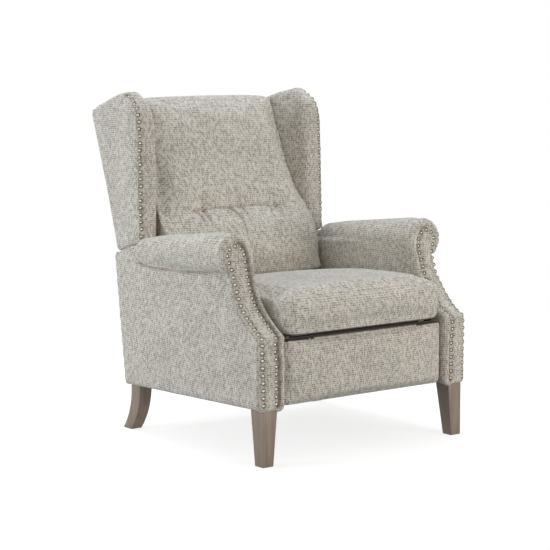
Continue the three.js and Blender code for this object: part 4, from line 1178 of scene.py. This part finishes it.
slotOf = {row["node"]: row["material_slot"] for row in frame["record"]["subparts"]}
for node, solid in frame["nodes"].items():
    if solid.hide_render:
        continue
    wooden = slotOf[node] == "frame_wood"
    # painted shadow: the front rail takes the near-black timber for the shade in the gap under the cushion
    timber = gapShadowTimber if node == "seat_front_rail" else rawTimber
    solid.data.materials.clear()
    solid.data.materials.append(timber if wooden else coatedSteel)
    weld = solid.modifiers.new("weld", "WELD")
    weld.merge_threshold = weldDistance
    if "spring" not in node:
        eased = solid.modifiers.new("easedEdges", "BEVEL")
        eased.width = easing["timber" if wooden else "steel"]
        eased.segments = 2
        eased.limit_method = "ANGLE"
        eased.angle_limit = math.radians(easing["angle"])
print("frame and mechanism finished")


# Floor, light and camera

lighting = {
    "overhead": {"place": (0.3, 0.9, 3.6), "aim": (0, 0, 0.4), "size": 2.4, "power": 50,
                 "tint": (0.86, 1.0, 1.14)},
    "leftSide": {"place": (-3.2, 0.9, 0.8), "aim": (0, 0.1, 0.4), "size": 1.6, "power": 44,
                 "tint": (0.93, 1.0, 1.07)},
    "frontFill": {"place": (1.6, -4.2, 0.5), "aim": (0, 0, 0.4), "size": 2.0, "power": 84,
                  "tint": (1.01, 1.0, 0.97)},
}
floorShape = {
    "size": 30,
    "base": (0.42, 0.42, 0.42, 1),
    "roughness": 0.9,
    "glow": 0.78,
    "whiteBetween": (0.9, 1.7),
}
backdropShape = {"strength": 0.52, "tint": (1.03, 0.99, 0.97, 1)}
photoView = {
    "lens": 124.95,
    "sensor": 36,
    "place": (-3.5478, -4.6225, 1.2239),
    "aim": (-0.0182, -0.0558, 0.476),
}
white = (1, 1, 1, 1)


def hangUp(name, data, place, aim):
    holder = bpy.data.objects.new(name, data)
    bpy.context.scene.collection.objects.link(holder)
    holder.location = place
    holder.rotation_euler = (Vector(aim) - Vector(place)).to_track_quat("-Z", "Y").to_euler()
    return holder


def softLamp(name, place, aim, size, power, tint):
    lamp = bpy.data.lights.new(name, "AREA")
    lamp.shape = "DISK"
    lamp.size = size
    lamp.energy = power
    lamp.color = tint
    hangUp(name, lamp, place, aim)


def seenDirectly(make):
    # 1 for what the camera sees, straight, mirrored or through something clear
    path = make.put("LightPath")
    seen = make.sum("MAXIMUM", path.outputs["Is Camera Ray"], path.outputs["Is Glossy Ray"])
    return make.sum("MAXIMUM", seen, path.outputs["Is Transmission Ray"])


def paleFloor():
    # plain where the shadow falls, and as white as the backdrop away from the object
    shape = floorShape
    material = bpy.data.materials.new("paleFloor")
    material.use_nodes = True
    make = Maker(material.node_tree)
    shader = material.node_tree.nodes["Principled BSDF"]
    shader.inputs["Base Color"].default_value = shape["base"]
    shader.inputs["Roughness"].default_value = shape["roughness"]
    shader.inputs["Specular IOR Level"].default_value = 0.0
    shader.inputs["Emission Color"].default_value = white
    seen = seenDirectly(make)
    make.join(make.sum("MULTIPLY", seen, shape["glow"]), shader.inputs["Emission Strength"])
    spot = make.put("TexCoord")
    reach = make.put("VectorMath", operation="LENGTH")
    make.join(spot.outputs["Object"], reach.inputs[0])
    away = make.spread(reach.outputs["Value"], *shape["whiteBetween"])
    blank = make.put("Emission")
    blank.inputs["Color"].default_value = white
    blend = make.put("MixShader")
    make.join(make.sum("MULTIPLY", away, seen), blend.inputs["Fac"])
    make.join(shader.outputs["BSDF"], blend.inputs[1])
    make.join(blank.outputs["Emission"], blend.inputs[2])
    make.join(blend.outputs["Shader"], material.node_tree.nodes["Material Output"].inputs["Surface"])
    return material


for name, values in lighting.items():
    softLamp(name, **values)

bpy.ops.object.select_all(action="DESELECT")
bpy.ops.mesh.primitive_plane_add(size=floorShape["size"], location=(0, 0, 0))
floor = bpy.context.object
floor.name = "floor"
floor.data.materials.append(paleFloor())

world = bpy.data.worlds.new("studio")
bpy.context.scene.world = world
world.use_nodes = True
worldMake = Maker(world.node_tree)
backdrop = world.node_tree.nodes["Background"]
seen = seenDirectly(worldMake)
worldMake.join(worldMake.spread(seen, 0, 1, backdropShape["strength"], 1.0), backdrop.inputs["Strength"])
worldMake.join(worldMake.mixed(seen, backdropShape["tint"], white), backdrop.inputs["Color"])

cameraData = bpy.data.cameras.new("photoCamera")
cameraData.lens = photoView["lens"]
cameraData.sensor_width = photoView["sensor"]
cameraData.sensor_fit = "HORIZONTAL"
bpy.context.scene.camera = hangUp("photoCamera", cameraData, photoView["place"], photoView["aim"])
bpy.context.scene.view_settings.view_transform = "Standard"
print("stage set")
